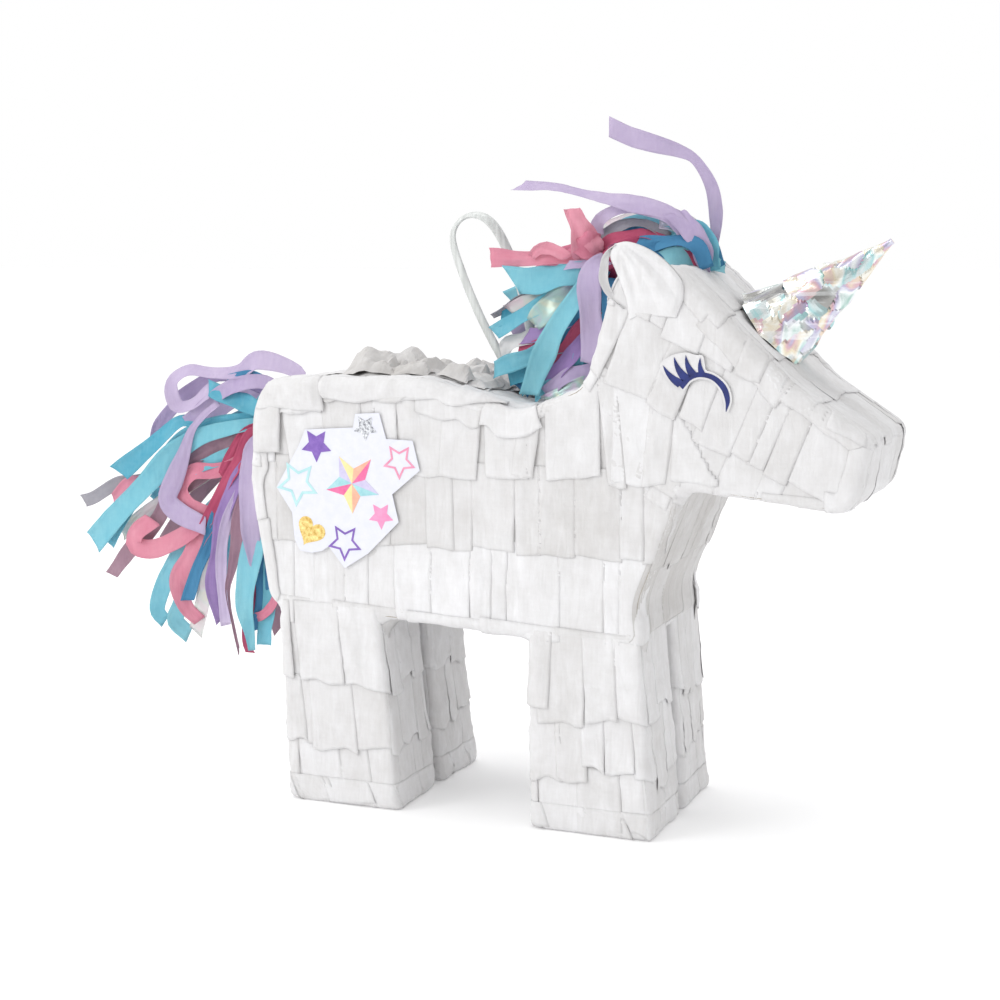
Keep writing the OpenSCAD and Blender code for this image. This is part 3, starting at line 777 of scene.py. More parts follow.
def head_rows(side, name):
    """Slanted rows across the head, from the poll down to the jaw."""
    fall = math.radians(28)
    along = (math.cos(fall), -math.sin(fall))
    lean = math.radians(22)
    down = (-math.sin(lean), -math.cos(lean))

    def head(xz):
        return past_neck(xz, 3) + 2.5 * noise_a(xyz(xz[..., 0], 0, xz[..., 1]), 8)

    place = side_place(side, (RUMP_X + 157, BACK_Z + 62), along, down, head)
    rows = [("cheek", (76, 112), 0.0), ("cheek", (50, 81), 0.1),
            ("brow", (22, 54), 0.2), ("brow", (-6, 27), 0.3)]
    for part in ("cheek", "brow"):
        sheets = Sheets()
        for kind, (start, end), base in rows:
            if kind == part:
                tabs(sheets, place, (-50, 125), (start, end), width=(6, 20), base=base,
                     rise=0.5, ragged=0.9)
        sheets.build(f"{name}_{part}_fringe", [WHITE], f"{name}_{part}_row", thickness=0.1)


FLAP_LO, FLAP_HI = mm_box("fill_flap")
HOLE_R = 6.6                             # room round the strap
FLAP_GAP = 0.6                           # room at the flap's other edges
OPENING_MARGIN = 3.0                     # room behind the hinge for the flap to swing back


def gusset_place(w, s, lift):
    """Places points across and along the gussets, leaving the flap and the hole free."""
    points = on_gusset(s, w, lift)
    return points, free_of_openings(points)


def edge_place(s, w, lift):
    """As gusset_place, for strips side by side along an edge that hang over it."""
    return gusset_place(w, s, lift)


def free_of_openings(points):
    """Positive away from the flap and the loop's hole, and very negative over them."""
    x, y, z = points[..., 0], points[..., 1], points[..., 2]
    top = z > BACK_Z - 16
    over_flap = (top & (x > FLAP_LO[0] - OPENING_MARGIN) & (x < FLAP_HI[0] + FLAP_GAP)
                 & (np.abs(y) < FLAP_HI[1] + FLAP_GAP))
    over_hole = top & (np.hypot(x - LOOP_X, y) < HOLE_R)
    return np.where(over_flap | over_hole, -99.0, 99.0)


S_BELLY_REAR = outline_s(8, -92)
S_RUMP_TOP = outline_s(3, 0)
S_DIP = outline_s(117, -11)
S_POLL_FRONT = outline_s(178, 45)
S_NOSE_TOP = outline_s(250, -17)
S_NOSE_FOOT = outline_s(246, -42)
S_THROAT = outline_s(183, -36)
S_CHEST_FOOT = outline_s(167, -98)
WHOLE = float(len(LINE))


def gusset_rows(name, start, end, row=30, reverse=False, drape=None, lift=0.35,
                drape_width=(18, 44), width=(9, 30), tones=(0.44, 0.64), wrap=-1.0):
    """Fringe across one gusset, in rows about as wide as row, that stops wrap short of the
    end of its rounded edges. drape is how far the strips over its edges hang down."""
    if end < start:
        end += WHOLE
    sheets = Sheets()
    count = max(1, round((end - start) / row))
    cuts = np.linspace(start, end, count + 1)
    over = SKIN - EDGE_R + EDGE_R * math.pi / 2
    for k in range(count):
        a, b = (cuts[k + 1], cuts[k]) if reverse else (cuts[k], cuts[k + 1])
        way = np.sign(b - a)
        layer = k if reverse else count - 1 - k
        tabs(sheets, gusset_place, (-over + wrap, over - wrap), (a - way * 3, b + way * 2),
             width=width, base=lift - 0.35 + 0.08 * layer, rise=0.4, ragged=0.9, tones=tones)
    for side in (-1, 1) if drape else ():
        tabs(sheets, edge_place, (start - 2, end + 2),
             (side * (over - 9), side * (over + RNG.uniform(*drape))),
             width=drape_width, base=lift, rise=0.35,
             ragged=(drape[1] - drape[0]) * 0.3, lean=0.05, gap=(-2.0, 0.2))
    sheets.build(f"{name}_fringe", [WHITE], f"{name}_tissue", thickness=0.1)


def gussets():
    gusset_rows("rump", S_BELLY_REAR, S_RUMP_TOP, reverse=True, drape=(1, 4))
    gusset_rows("back", S_RUMP_TOP, S_DIP, reverse=True, drape=(6, 12), lift=0.6)
    gusset_rows("nape", S_DIP, S_POLL_FRONT, reverse=True)
    gusset_rows("forehead", S_POLL_FRONT, S_NOSE_TOP, row=27, drape=(2, 6), lift=0.5)
    gusset_rows("muzzle", S_NOSE_TOP, S_NOSE_FOOT, width=(12, 40))
    gusset_rows("jaw", S_NOSE_FOOT, S_THROAT)
    # The chest's low tones are painted shade: it faces away from the key lamp.
    gusset_rows("chest", S_THROAT, S_CHEST_FOOT, row=32, width=(6, 20), tones=(0.14, 0.36),
                wrap=1.2)
    gusset_rows("belly", S_CHEST_FOOT, S_BELLY_REAR)


def under_layer():
    """The first layer of tissue, glued straight on the card, that shows in the gaps; its lower tone is
    painted shade there.
    """
    spacing = 1.8
    xs = np.arange(silhouette.low[0], LINE[:, 0].max() + 8, spacing)
    zs = np.arange(8, LINE[:, 1].max() + 8, spacing)
    grid = np.stack(np.meshgrid(xs, zs), -1)
    for side, name in SIDES:
        sheets = Sheets()
        points, d = on_side(grid, UNDER, side)
        points = on_side(grid, UNDER + crinkle(points), side)[0]
        sheets.grid(points, tone=0.35, keep=d > -5)
        sheets.build(f"{name}_side_under_layer", [WHITE], thickness=0.1)
    sheets = Sheets()
    s = np.arange(0, WHOLE + spacing, spacing)[:, None]
    w = np.linspace(-SKIN, SKIN, 56)[None, :]
    s, w = np.broadcast_arrays(s, w)
    points = on_gusset(s, w, UNDER)
    points = on_gusset(s, w, UNDER + crinkle(points))
    sheets.grid(points, tone=0.35, keep=free_of_openings(points) > 0)
    sheets.build("gusset_under_layer", [WHITE], thickness=0.1)


def leg_fringe():
    """Three rings of fringe round each leg, the lowest folded under the foot, and a short
    slanting one over the foot's edge."""
    sheets = Sheets()
    for leg in legs.values():
        def place(u, z, lift, leg=leg):
            points = leg.place(u, z, lift)
            return points, np.full(points.shape[:-1], 99.0)
        under_u = np.linspace(0, leg.around, 90)[None, :]
        z = np.arange(-5, leg.top_z + 4, 1.9)[:, None]
        under = crinkled(place, *np.broadcast_arrays(under_u, z), LEG_UNDER)[0]
        sheets.grid(under, tone=0.45)
        top = leg.top_z + 3
        for start, end, base in ((27, -5, 0.0), (53, 24, 0.12), (top, 49, 0.24)):
            shift = RNG.uniform(0, 12)
            tabs(sheets, place, (shift, shift + leg.around - 4), (start, end), width=(7, 21),
                 base=base, rise=0.8, ragged=2.2, lean=0.02, amount=1.35)
        tabs(sheets, place, (0, leg.around), (11, -2), width=(9, 24), base=0.4, rise=0.35,
             ragged=2.5, lean=0.35, gap=(-1, 3), amount=1.35)
    sheets.build("leg_fringe", [WHITE], "leg_tissue", thickness=0.1)


def soles():
    """Tissue gathered flat under each foot."""
    for name, leg in legs.items():
        sheets = Sheets()
        u = np.linspace(0, leg.around, 72)[None, :]
        depth = np.linspace(-3.5, -leg.half_y + 3, 9)[:, None]
        points = leg.place(*np.broadcast_arrays(u, depth), 0.1)
        points[..., 2] = 0.35 + 0.3 * noise_b(points, 6)
        points[..., 2] = np.maximum(points[..., 2], 0.12)
        sheets.grid(points, tone=0.4)
        sheets.fan(points[-1, :-1], tone=0.4)
        sole = name.replace("_leg", "_sole")
        sheets.build(f"{sole}_tissue", [WHITE], sole, thickness=0.2)


# ---------------------------------------------------------------- gathered tissue
FOLDS = ((21, 0.46), (13, 0.32), (8.5, 0.16), (4.6, 0.06))     # wavelength and share of height
GATHER_STEP = 1.1                        # spacing of a crumpled sheet's points


def gathered(sheets, place, u_range, v_range, height, seed, tone):
    """One crumpled sheet: flat facets between sharp folds, pushed up in peaks."""
    rng = np.random.default_rng(seed)
    u, v = np.broadcast_arrays(np.arange(*u_range, GATHER_STEP)[:, None],
                               np.arange(*v_range, GATHER_STEP)[None, :])
    flat = xyz(u, v, 0)
    warp_u, warp_v = 2.4 * noise_a(flat + seed * 7, 17), 2.4 * noise_b(flat + seed * 5, 17)
    total = 0
    for wave, size in FOLDS:
        angle = rng.uniform(0, math.pi)
        phase = ((u + warp_u) * math.cos(angle) + (v + warp_v) * math.sin(angle)) / wave
        total = total + size * zigzag(phase + rng.uniform())
    edge = np.minimum.reduce([u - u_range[0], u_range[1] - u, v - v_range[0], v_range[1] - v])
    rise = np.clip(edge / 4, 0.0, 1)
    lift = 0.6 + height * (0.5 + 0.5 * total) * (0.25 + 0.75 * rise)
    shift = 2.0 * noise_c(flat + seed * 3, 10)
    points = place(u + shift, v + 1.8 * noise_a(flat - seed * 4, 11), np.maximum(lift, 0.25))
    sheets.grid(points, tone=tone)


def heap(sheets, place, patches):
    """Crumpled sheets on top of each other: ranges of u and v, height, seed and tone."""
    for u_range, v_range, height, seed, tone in patches:
        gathered(sheets, place, u_range, v_range, height, seed, tone)


def rump_folds():
    """Soft folds pushed together over the rump's upper corner on both sides."""
    for side, name in SIDES:
        def on_corner(u, v, lift, side=side):
            xz = np.stack([RUMP_X + u, BACK_Z - v], -1)
            return on_side(xz, lift + 0.3, side)[0]
        sheets = Sheets()
        heap(sheets, on_corner, [((3, 34), (-1, 13), 3.2, 83, 0.5),
                                 ((2, 14), (6, 30), 2.4, 91, 0.45),
                                 ((30, 112), (-3, 7), 2.2, 97, 0.55)])
        sheets.build(f"{name}_rump_folds", [WHITE], thickness=0.12)


def ruffles():
    """Gathered tissue over the flap, which it moves with, and down to the loop."""
    x0, x1 = FLAP_LO[0] + 3, FLAP_HI[0] - 1
    half = FLAP_HI[1] - 1.5
    s_flap = outline_s(FLAP_HI[0] + 1.5 - RUMP_X, 0)

    def on_flap(u, v, lift):
        x = np.clip(u, FLAP_LO[0] + 1, FLAP_HI[0] + 0.5)
        y = np.clip(v, -half - 0.5, half + 0.5)
        return xyz(x, y, BACK_Z + lift)

    def on_slope(u, v, lift):
        return on_gusset(s_flap + u, v, lift)

    flap = Sheets()
    heap(flap, on_flap, [((x0 - 2.2, x1 + 1), (-half, half), 4.0, 3, 0.2),
                         ((x0, x0 + 24), (-half, -half + 34), 13.5, 11, 0.15),
                         ((x0 + 2, x0 + 30), (-6, half), 12.0, 23, 0.25),
                         ((x0 + 18, x1), (-half, half - 12), 9.5, 31, 0.1),
                         ((x0 + 24, x1), (-8, half), 8.0, 47, 0.3)])
    flap.build("flap_gathered_tissue", [WHITE], "flap_ruffle", body="flap", thickness=0.1,
               smooth=False)
    slope = Sheets()
    heap(slope, on_slope, [((0, 24), (-half - 1, half), 3.6, 5, 0.25),
                           ((0, 16), (-half - 2, half), 9.0, 61, 0.15),
                           ((8, 23), (-half, half - 2), 6.0, 73, 0.3)])
    slope.build("slope_gathered_tissue", [WHITE], "back_ruffle", thickness=0.1, smooth=False)


# ---------------------------------------------------------------- ears
def ear(side, name):
    """A puffed pad of folded tissue with creases that fan out, and a lip behind it."""
    # Offsets from the ear's lower rear corner, [x, z]
    rear = [(15, 2), (13.5, 10), (10, 19), (7.3, 25.5), (9, 30)]
    top = [(9, 30), (14, 30.8), (21, 28.6), (27, 25), (32, 20.5)]
    front = [(32, 20.5), (35.2, 16), (35.7, 10), (33, 3)]
    foot = [(15, 2), (20, 4), (26, 3.5), (33, 3)]
    corner = np.array([mm_box(f"{name}_ear")[0][0] - 1, POLL_Z - 24])
    rows, columns = 44, 46

    def curve(points, count):
        return spread(smooth_line(points, 8), count)

    left, right = curve(rear, rows), curve(front[::-1], rows)
    low_edge, high_edge = curve(foot, columns), curve(top, columns)
    p = np.linspace(0, 1, columns)[None, :, None]
    q = np.linspace(0, 1, rows)[:, None, None]
    face = ((1 - p) * left[:, None] + p * right[:, None] + (1 - q) * low_edge[None]
            + q * high_edge[None]
            - (1 - p) * (1 - q) * left[0] - p * (1 - q) * right[0]
            - (1 - p) * q * left[-1] - p * q * right[-1])
    p, q = np.broadcast_arrays(p[..., 0], q[..., 0])
    puff = (np.clip(5 * p, 0, 1) * np.clip(9 * (1 - p), 0, 1) * np.clip(7 * (1 - q), 0, 1)) ** 0.5
    puff = puff * np.clip(q / 0.35, 0, 1) ** 0.8
    angle = np.arctan2(face[..., 1] - 31, face[..., 0] - 10)
    reach = np.hypot(face[..., 0] - 10, face[..., 1] - 31)
    creases = 1.05 * zigzag(angle * 1.5 + 0.3) + 0.55 * zigzag(angle * 3.4 + reach * 0.03)
    creases = creases * np.clip(reach / 10, 0, 1)
    xz = face + corner
    sheets = Sheets()
    rough = crinkle(xyz(xz[..., 0], side * SKIN, xz[..., 1])) * 0.7
    # The inner sheet, towards the head, gets a lower tone than the outer one: painted shade.
    for outer, tone in ((1, 0.62), (-1, 0.4)):
        thick = (2.2 if outer > 0 else 1.4) * puff + (creases + rough) * puff * 0.8
        y = SKIN + 0.4 + outer * thick + (0.3 if outer > 0 else -0.6)
        points = xyz(xz[..., 0], side * y, xz[..., 1])
        sheets.grid(points if outer > 0 else points[::-1], tone=tone)
    # The lip: a folded edge behind the pad
    t = np.linspace(0, 1, 26)[:, None]
    across = np.linspace(-1, 1, 7)[None, :]
    lip = curve([(10, 29.8), (6.4, 26.8), (4.8, 20.8), (5.4, 14.6), (8.6, 10), (13, 6)], 26)
    x = corner[0] + lip[:, :1] + across * 1.5 * np.sin(math.pi * (0.06 + 0.88 * t))
    z = corner[1] + lip[:, 1:]
    y = SKIN + 0.9 - 1.6 * (1 - across ** 2) - 0.9 * across + 0.4 * zigzag(t * 4)
    sheets.grid(xyz(x, side * y, z), tone=0.55)
    sheets.build(f"{name}_folded_ear", [WHITE], f"{name}_ear", thickness=0.1)


# ---------------------------------------------------------------- horn
def horn():
    """A cone of crumpled foil: flat facets of all sizes, a torn rim and a twisted tip."""
    rng = np.random.default_rng(17)
    lean = math.radians(53)
    axis = np.array([math.sin(lean), 0, math.cos(lean)])
    right = np.array([0, 1.0, 0])
    up = np.cross(right, axis)
    base = np.array([RUMP_X + 207, 0, BACK_Z + 22])
    length, radius, tip = 53.5, 15.9, 1.1
    rings, around = 62, 84
    angle = np.linspace(0, 2 * math.pi, around, endpoint=False)[None, :]
    # The rim is cut to stand on the forehead: solve for the share of the length there
    below = int(S_POLL_FRONT) + 30       # the forehead's point under the horn
    slope_out = NORMAL[below]
    off = (base[[0, 2]] - LINE[below]) @ slope_out
    tilt = (up[[0, 2]] @ slope_out) * radius * np.sin(angle)
    foot = (0.7 - off - tilt) / (length * (axis[[0, 2]] @ slope_out) - tilt)
    foot = np.clip(foot, -0.045, 0.06)
    t = foot + (1.02 - foot) * np.linspace(0, 1, rings)[:, None]
    angle = angle + 0 * t
    # Each cell of the crumple is a small plane, tilted its own way
    wide = np.maximum(radius * (1 - t), 0) + tip * t
    spot = xyz(wide * np.cos(angle), wide * np.sin(angle), t * length)
    cells = 54
    seed_t = 1 - np.sqrt(rng.uniform(0, 1.05, cells))
    seed_a = rng.uniform(0, 2 * math.pi, cells)
    seed_r = np.maximum(radius * (1 - seed_t), 0.9)
    seeds = xyz(seed_r * np.cos(seed_a), seed_r * np.sin(seed_a), seed_t * length)
    gap = spot.reshape(-1, 1, 3) * [1, 1, 0.6] - seeds[None] * [1, 1, 0.6]
    cell = np.argmin((gap ** 2).sum(2), 1)
    off = spot.reshape(-1, 3) - seeds[cell]
    slope = rng.normal(0, 0.2, (cells, 3))
    bump = np.clip((off * slope[cell]).sum(1) + 0.3, -0.15, 1.2)
    bump = bump.reshape(t.shape) * np.clip(wide / 6, 0.2, 1)
    rim = np.clip((foot + 0.06 - t) / 0.06, 0, 1)
    wide = wide + bump + rim * (0.5 + 0.9 * noise_b(spot, 5))
    flat = np.clip((t - 0.8) / 0.2, 0, 1)
    turn = angle + 1.6 * flat
    a_axis, b_axis = wide * np.cos(turn) * (1 + 0.5 * flat), wide * np.sin(turn) * (1 - 0.1 * flat)
    run = t * length + 0.8 * noise_a(spot, 4) * (1 - flat)
    points = (base + axis * run[..., None] + right * a_axis[..., None]
              + up * (b_axis - 0.3 * flat ** 2)[..., None])
    sheets = Sheets()
    # Each facet's tone is painted reflection: mostly bright silver, a few dark. The lower tone at the
    # rim is painted shade.
    painted_reflection = rng.uniform(0.0, 1, cells)
    painted_reflection[rng.uniform(size=cells) < 0.06] = -0.35
    sheets.grid(points, tone=painted_reflection[cell].reshape(t.shape) - 0.15 * rim, closed=True)
    sheets.fan(points[-1], tone=0.5)
    sheets.build("horn_foil_wrap", [FOIL], "horn_foil", slot="holographic_foil",
                 thickness=0.12, smooth=False)


# ---------------------------------------------------------------- streamers
RIBBON_STEP = 1.7                        # spacing of the points along a streamer


class Bunch:
    """Streamers cut from tissue and film, joined into one piece."""

    def __init__(self, seed):
        self.sheets = Sheets()
        self.rng = np.random.default_rng(seed)

    def ribbon(self, colour, points, width=7.0, turn=(0.0, 0.0), cup=0.1, tone=None,
               rumple=0.6, cut=None, facing=(0.25, -1.0, 0.25)):
        """A strip along the points. turn is its twist, in turns, at its two ends; width is
        one number or a list of widths from its root to its end."""
        line = smooth_line(points, 8)
        count = max(6, int(run_along(line)[-1] / RIBBON_STEP))
        line = spread(line, count)
        along = unit_rows(np.gradient(line, axis=0))
        out = np.array(facing) - along * (along @ np.array(facing))[:, None]
        weak = np.linalg.norm(out, axis=1) < 0.35
        out[weak] = np.array([0, -0.3, 1.0]) - along[weak] * along[weak][:, 2:]
        for _ in range(3):
            out[1:-1] = (out[:-2] + out[1:-1] * 2 + out[2:]) / 4
        out = unit_rows(out - along * (out * along).sum(1)[:, None])
        t = np.linspace(0, 1, count)
        wave = np.sin(t * self.rng.uniform(5, 10) + self.rng.uniform(0, 6))
        twist = 2 * math.pi * (turn[0] + (turn[1] - turn[0]) * t) + 0.25 * wave
        flat = np.cross(along, out)
        side = flat * np.cos(twist)[:, None] + out * np.sin(twist)[:, None]
        face = np.cross(side, along)
        a = np.linspace(-1, 1, 8)
        widths = np.atleast_1d(np.array(width, float))
        wide = np.interp(t, np.linspace(0, 1, len(widths)), widths) / 2
        wide = wide * (0.75 + 0.25 * np.minimum(t * 4, 1))
        wide = wide * (1 + 0.06 * np.sin(t * 17 + self.rng.uniform(0, 6)))
        grid = (line[:, None] + side[:, None] * (wide[:, None] * a)[..., None]
                + face[:, None] * (cup * 2 * wide[:, None] * (a ** 2))[..., None])
        spot = grid + self.rng.uniform(0, 300, 3)
        folds = 0.9 * zigzag((a * 0.8)[None, :] + 0.25 * noise_a(spot, 14))
        bumps = folds * 0.4 + 0.6 * noise_b(spot, 6) + 0.35 * noise_c(spot, 2.8)
        grid = grid + face[:, None] * (bumps * rumple)[..., None]
        # A slanting cut end
        cut = self.rng.uniform(-2.5, 2.5) if cut is None else cut
        grid[-1] += along[-1] * (a * cut)[:, None]
        grid[-2] += along[-2] * (a * cut * 0.5)[:, None]
        tone = self.rng.uniform(0.1, 0.9) if tone is None else tone
        self.sheets.grid(grid, tone=tone, slot=list(STREAMERS).index(colour))

    def lay(self, root, rows, **shared):
        """Lays ribbons from rows of colour, width, tone, points off the root and settings."""
        for colour, width, tone, points, *own in rows:
            self.ribbon(colour, [root + p for p in points], width=width, tone=tone,
                        **shared, **dict(*own))

    def build(self, name, slot, node):
        self.sheets.build(name, list(STREAMERS.values()), node, slot=slot, thickness=0.1)


NAPE = np.array([RUMP_X + 117, 0, BACK_Z - 11])       # where the neck meets the back
TAIL_LO, TAIL_HI = mm_box("tail_binding")
TAIL = np.array([TAIL_LO[0], 0, (TAIL_LO[2] + TAIL_HI[2]) / 2])


def mane_fill(bunch, count):
    """Shorter streamers that root along the nape and droop back on the left, for the bulk."""
    rng = bunch.rng
    colours = ["aqua", "aqua", "blue", "lilac", "mauve", "aqua", "crimson", "lilac"]
    for k in range(count):
        share = (k + 0.5) / count
        root = NAPE + [14 + 20 * share, rng.uniform(1, 5), 6 + 46 * share]
        reach = rng.uniform(18, 34) + 6 * share
        rise, drop, out = rng.uniform(2, 8), rng.uniform(6, 20), rng.uniform(4, 15)
        points = [root, root + [-reach * 0.3, out * 0.5, rise],
                  root + [-reach * 0.75, out, rise * 0.4 - drop * 0.3],
                  root + [-reach, out * 1.1, -drop]]
        bunch.ribbon(colours[k % len(colours)], points, width=rng.uniform(8, 11),
                     turn=(rng.uniform(-0.1, 0.1), rng.uniform(-0.2, 0.2)),
                     facing=(0.25, 1.0, 0.25))


def mane():
    """Streamers down the neck's right side, where they are densest, and down its left."""
    right = Bunch(101)
    right.lay(NAPE, MANE_RIGHT)
    right.build("mane_right_streamers", "aqua_tissue", "mane_right_bunch")

    left = Bunch(202)
    mane_fill(left, 16)
    for k, colour in enumerate(["pink", "aqua", "cream", "lilac", "aqua", "film", "mauve",
                                "aqua", "lilac", "pink"]):
        z = 58 - 5.6 * k
        reach = left.rng.uniform(26, 40)
        left.ribbon(colour, [NAPE + p for p in [
            (20 - 0.3 * k, 4, z), (8, 10, z + 4), (-6, 14, z), (14 - reach, 14, z - 8 - k)]],
            width=left.rng.uniform(7, 9), facing=(0.2, 1.0, 0.3))
    left.ribbon("lilac", [NAPE + p for p in [(22, 6, 58), (16, 15, 54), (18, 19, 40),
                                             (17, 19, 18)]], facing=(0, 1, 0.2), width=9)
    left.build("mane_left_streamers", "aqua_tissue", "mane_left_bunch")


# Colour, width, tone, points off the nape's foot and, where they differ, the ribbon's other
# settings. They are laid from the ones against the neck to the ones on top; the darker tones
# of those against the neck are painted shade.
MANE_RIGHT = [
    ("blue", 9, 0.5, [(24, -3, 44), (14, -5, 40), (4, -6, 30), (-4, -6, 18)]),
    ("aqua", 8, 0.2, [(20, -3, 30), (8, -6, 24), (-4, -7, 16), (-12, -7, 9)]),
    ("blue", 8, 0.3, [(14, -3, 16), (4, -6, 17), (-6, -7, 13), (-12, -7, 7)]),
    ("aqua", 7, 0.3, [(20, -4, 22), (8, -7, 20), (-7, -8, 15), (-17, -8, 12)]),
    ("grey", 6, 0.4, [(14, -5, 50), (-2, -7, 46), (-11, -9, 43), (-17, -9, 40), (-24, -9, 37)],
     {"turn": (0.0, 0.22)}),
    ("aqua", 7, 0.1, [(18, -4, 52), (6, -8, 47), (-8, -9, 42), (-20, -9, 36)]),
    ("cream", [5, 6, 6], 0.4, [(12, -6, 50), (-1, -9, 46), (-7, -10, 43), (-16, -10, 39)],
     {"cut": 1.5}),
    ("purple", 6, 0.7, [(16, -5, 38), (6, -9, 34), (-1, -10, 30), (-9, -10, 29)]),
    ("white", 6, 0.5, [(4, -6, 33), (-9, -9, 28), (-16, -9, 26), (-20, -9, 22)]),
    ("aqua", 6.5, 0.45, [(18, -5, 52), (6, -10, 46), (-6, -11, 39), (-15, -11, 34), (-22, -11, 30)],
     {"cut": 1.0}),
    ("crimson", 5, 0.7, [(14, -6, 30), (-1, -10, 26), (-7, -10, 24), (-12, -10, 23)], {"rumple": 1.0}),
    ("film", [5, 8, 10, 7], 0.5, [(16, -7, 50), (6, -11, 44), (0, -12, 39), (-5, -12, 34)],
     {"rumple": 0.4, "cut": 0.0}),
    ("aqua", [7, 7, 7.5], 0.55, [(14, -6, 26), (1, -10, 24), (-6, -11, 21), (-15, -11, 18),
     (-22, -11, 15)], {"cut": -1.0}),
    ("blue", 8, 0.55, [(22, -5, 56), (16, -8, 46), (13, -9, 40), (9, -9, 33), (8, -9, 26)]),
    ("crimson", 6.5, 0.6, [(20, -7, 40), (15, -10, 33), (10, -10, 26), (6, -10, 20), (3, -10, 15)]),
    ("aqua", 5, 0.4, [(20, -6, 30), (15, -11, 24), (13, -11, 18), (9, -11, 14)]),
    ("purple", 6.5, 0.5, [(20, -7, 32), (15, -12, 26), (9, -12, 19), (4, -12, 14), (0, -12, 11)]),
    ("lilac", 6, 0.4, [(25, -7, 18), (20, -12, 16), (11, -13, 14), (5, -13, 10), (1, -13, 6)]),
    ("aqua", 5, 0.5, [(10, -7, 10), (3, -12, 10), (-1, -12, 8), (-4, -12, 5)]),
    ("film", 5, 0.5, [(20, -9, 12), (16, -14, 11), (9, -14, 8), (2, -14, 4)]),
    ("aqua", [6, 9, 11, 11], 0.62, [(24, -6, 58), (19, -10, 55), (9, -12, 53), (-1, -12, 51),
     (-14, -12, 51)], {"cut": 4.5, "rumple": 0.4}),
    ("aqua", [5, 7.5, 9.5, 8], 0.75, [(22, -8, 56), (18, -14, 51), (13, -16, 42), (6, -16, 32),
     (1, -16, 22), (-2, -16, 15), (-5, -16, 6)], {"rumple": 0.4, "cut": 1.0}),
    ("blue", 5, 0.4, [(27, -10, 52), (27, -15, 46), (28, -16, 38), (26, -16, 30)]),
    ("lilac", [6, 9, 9, 8], 0.6, [(26, -8, 60), (24, -17, 58), (21, -18, 54), (20.5, -18, 48),
     (21, -18, 38), (22, -18, 29), (21, -18, 19)], {"rumple": 0.3, "cut": -0.5}),
    ("lilac", 3.5, 0.5, [(26, -8, 62), (20, -12, 58), (9, -12, 57)]),
    ("pink", [5, 6, 6, 7.5], 0.55, [(24, -6, 62), (20, -10, 61), (8, -10, 60), (-3, -10, 59.5),
     (-13, -10, 59.5), (-19, -10, 60), (-24, -10, 60)], {"rumple": 1.0, "cut": 0.4}),
    ("pink", [4, 5, 4], 0.7, [(-6, -11, 60), (-3, -12, 63), (2, -12, 63.5), (10, -12, 60)],
     {"rumple": 1.0}),
    ("pink", [12, 14, 12, 8, 7, 6], 0.65, [(19, -9, 60), (17, -12, 65), (15.5, -12, 70), (13, -12, 75),
     (11, -12, 79)], {"rumple": 2.0, "cup": 0.05}),
    ("pink", [9, 12, 8], 0.35, [(22, -7, 62), (18, -13, 65), (13, -13, 66)], {"rumple": 1.8,
     "cup": 0.1})]


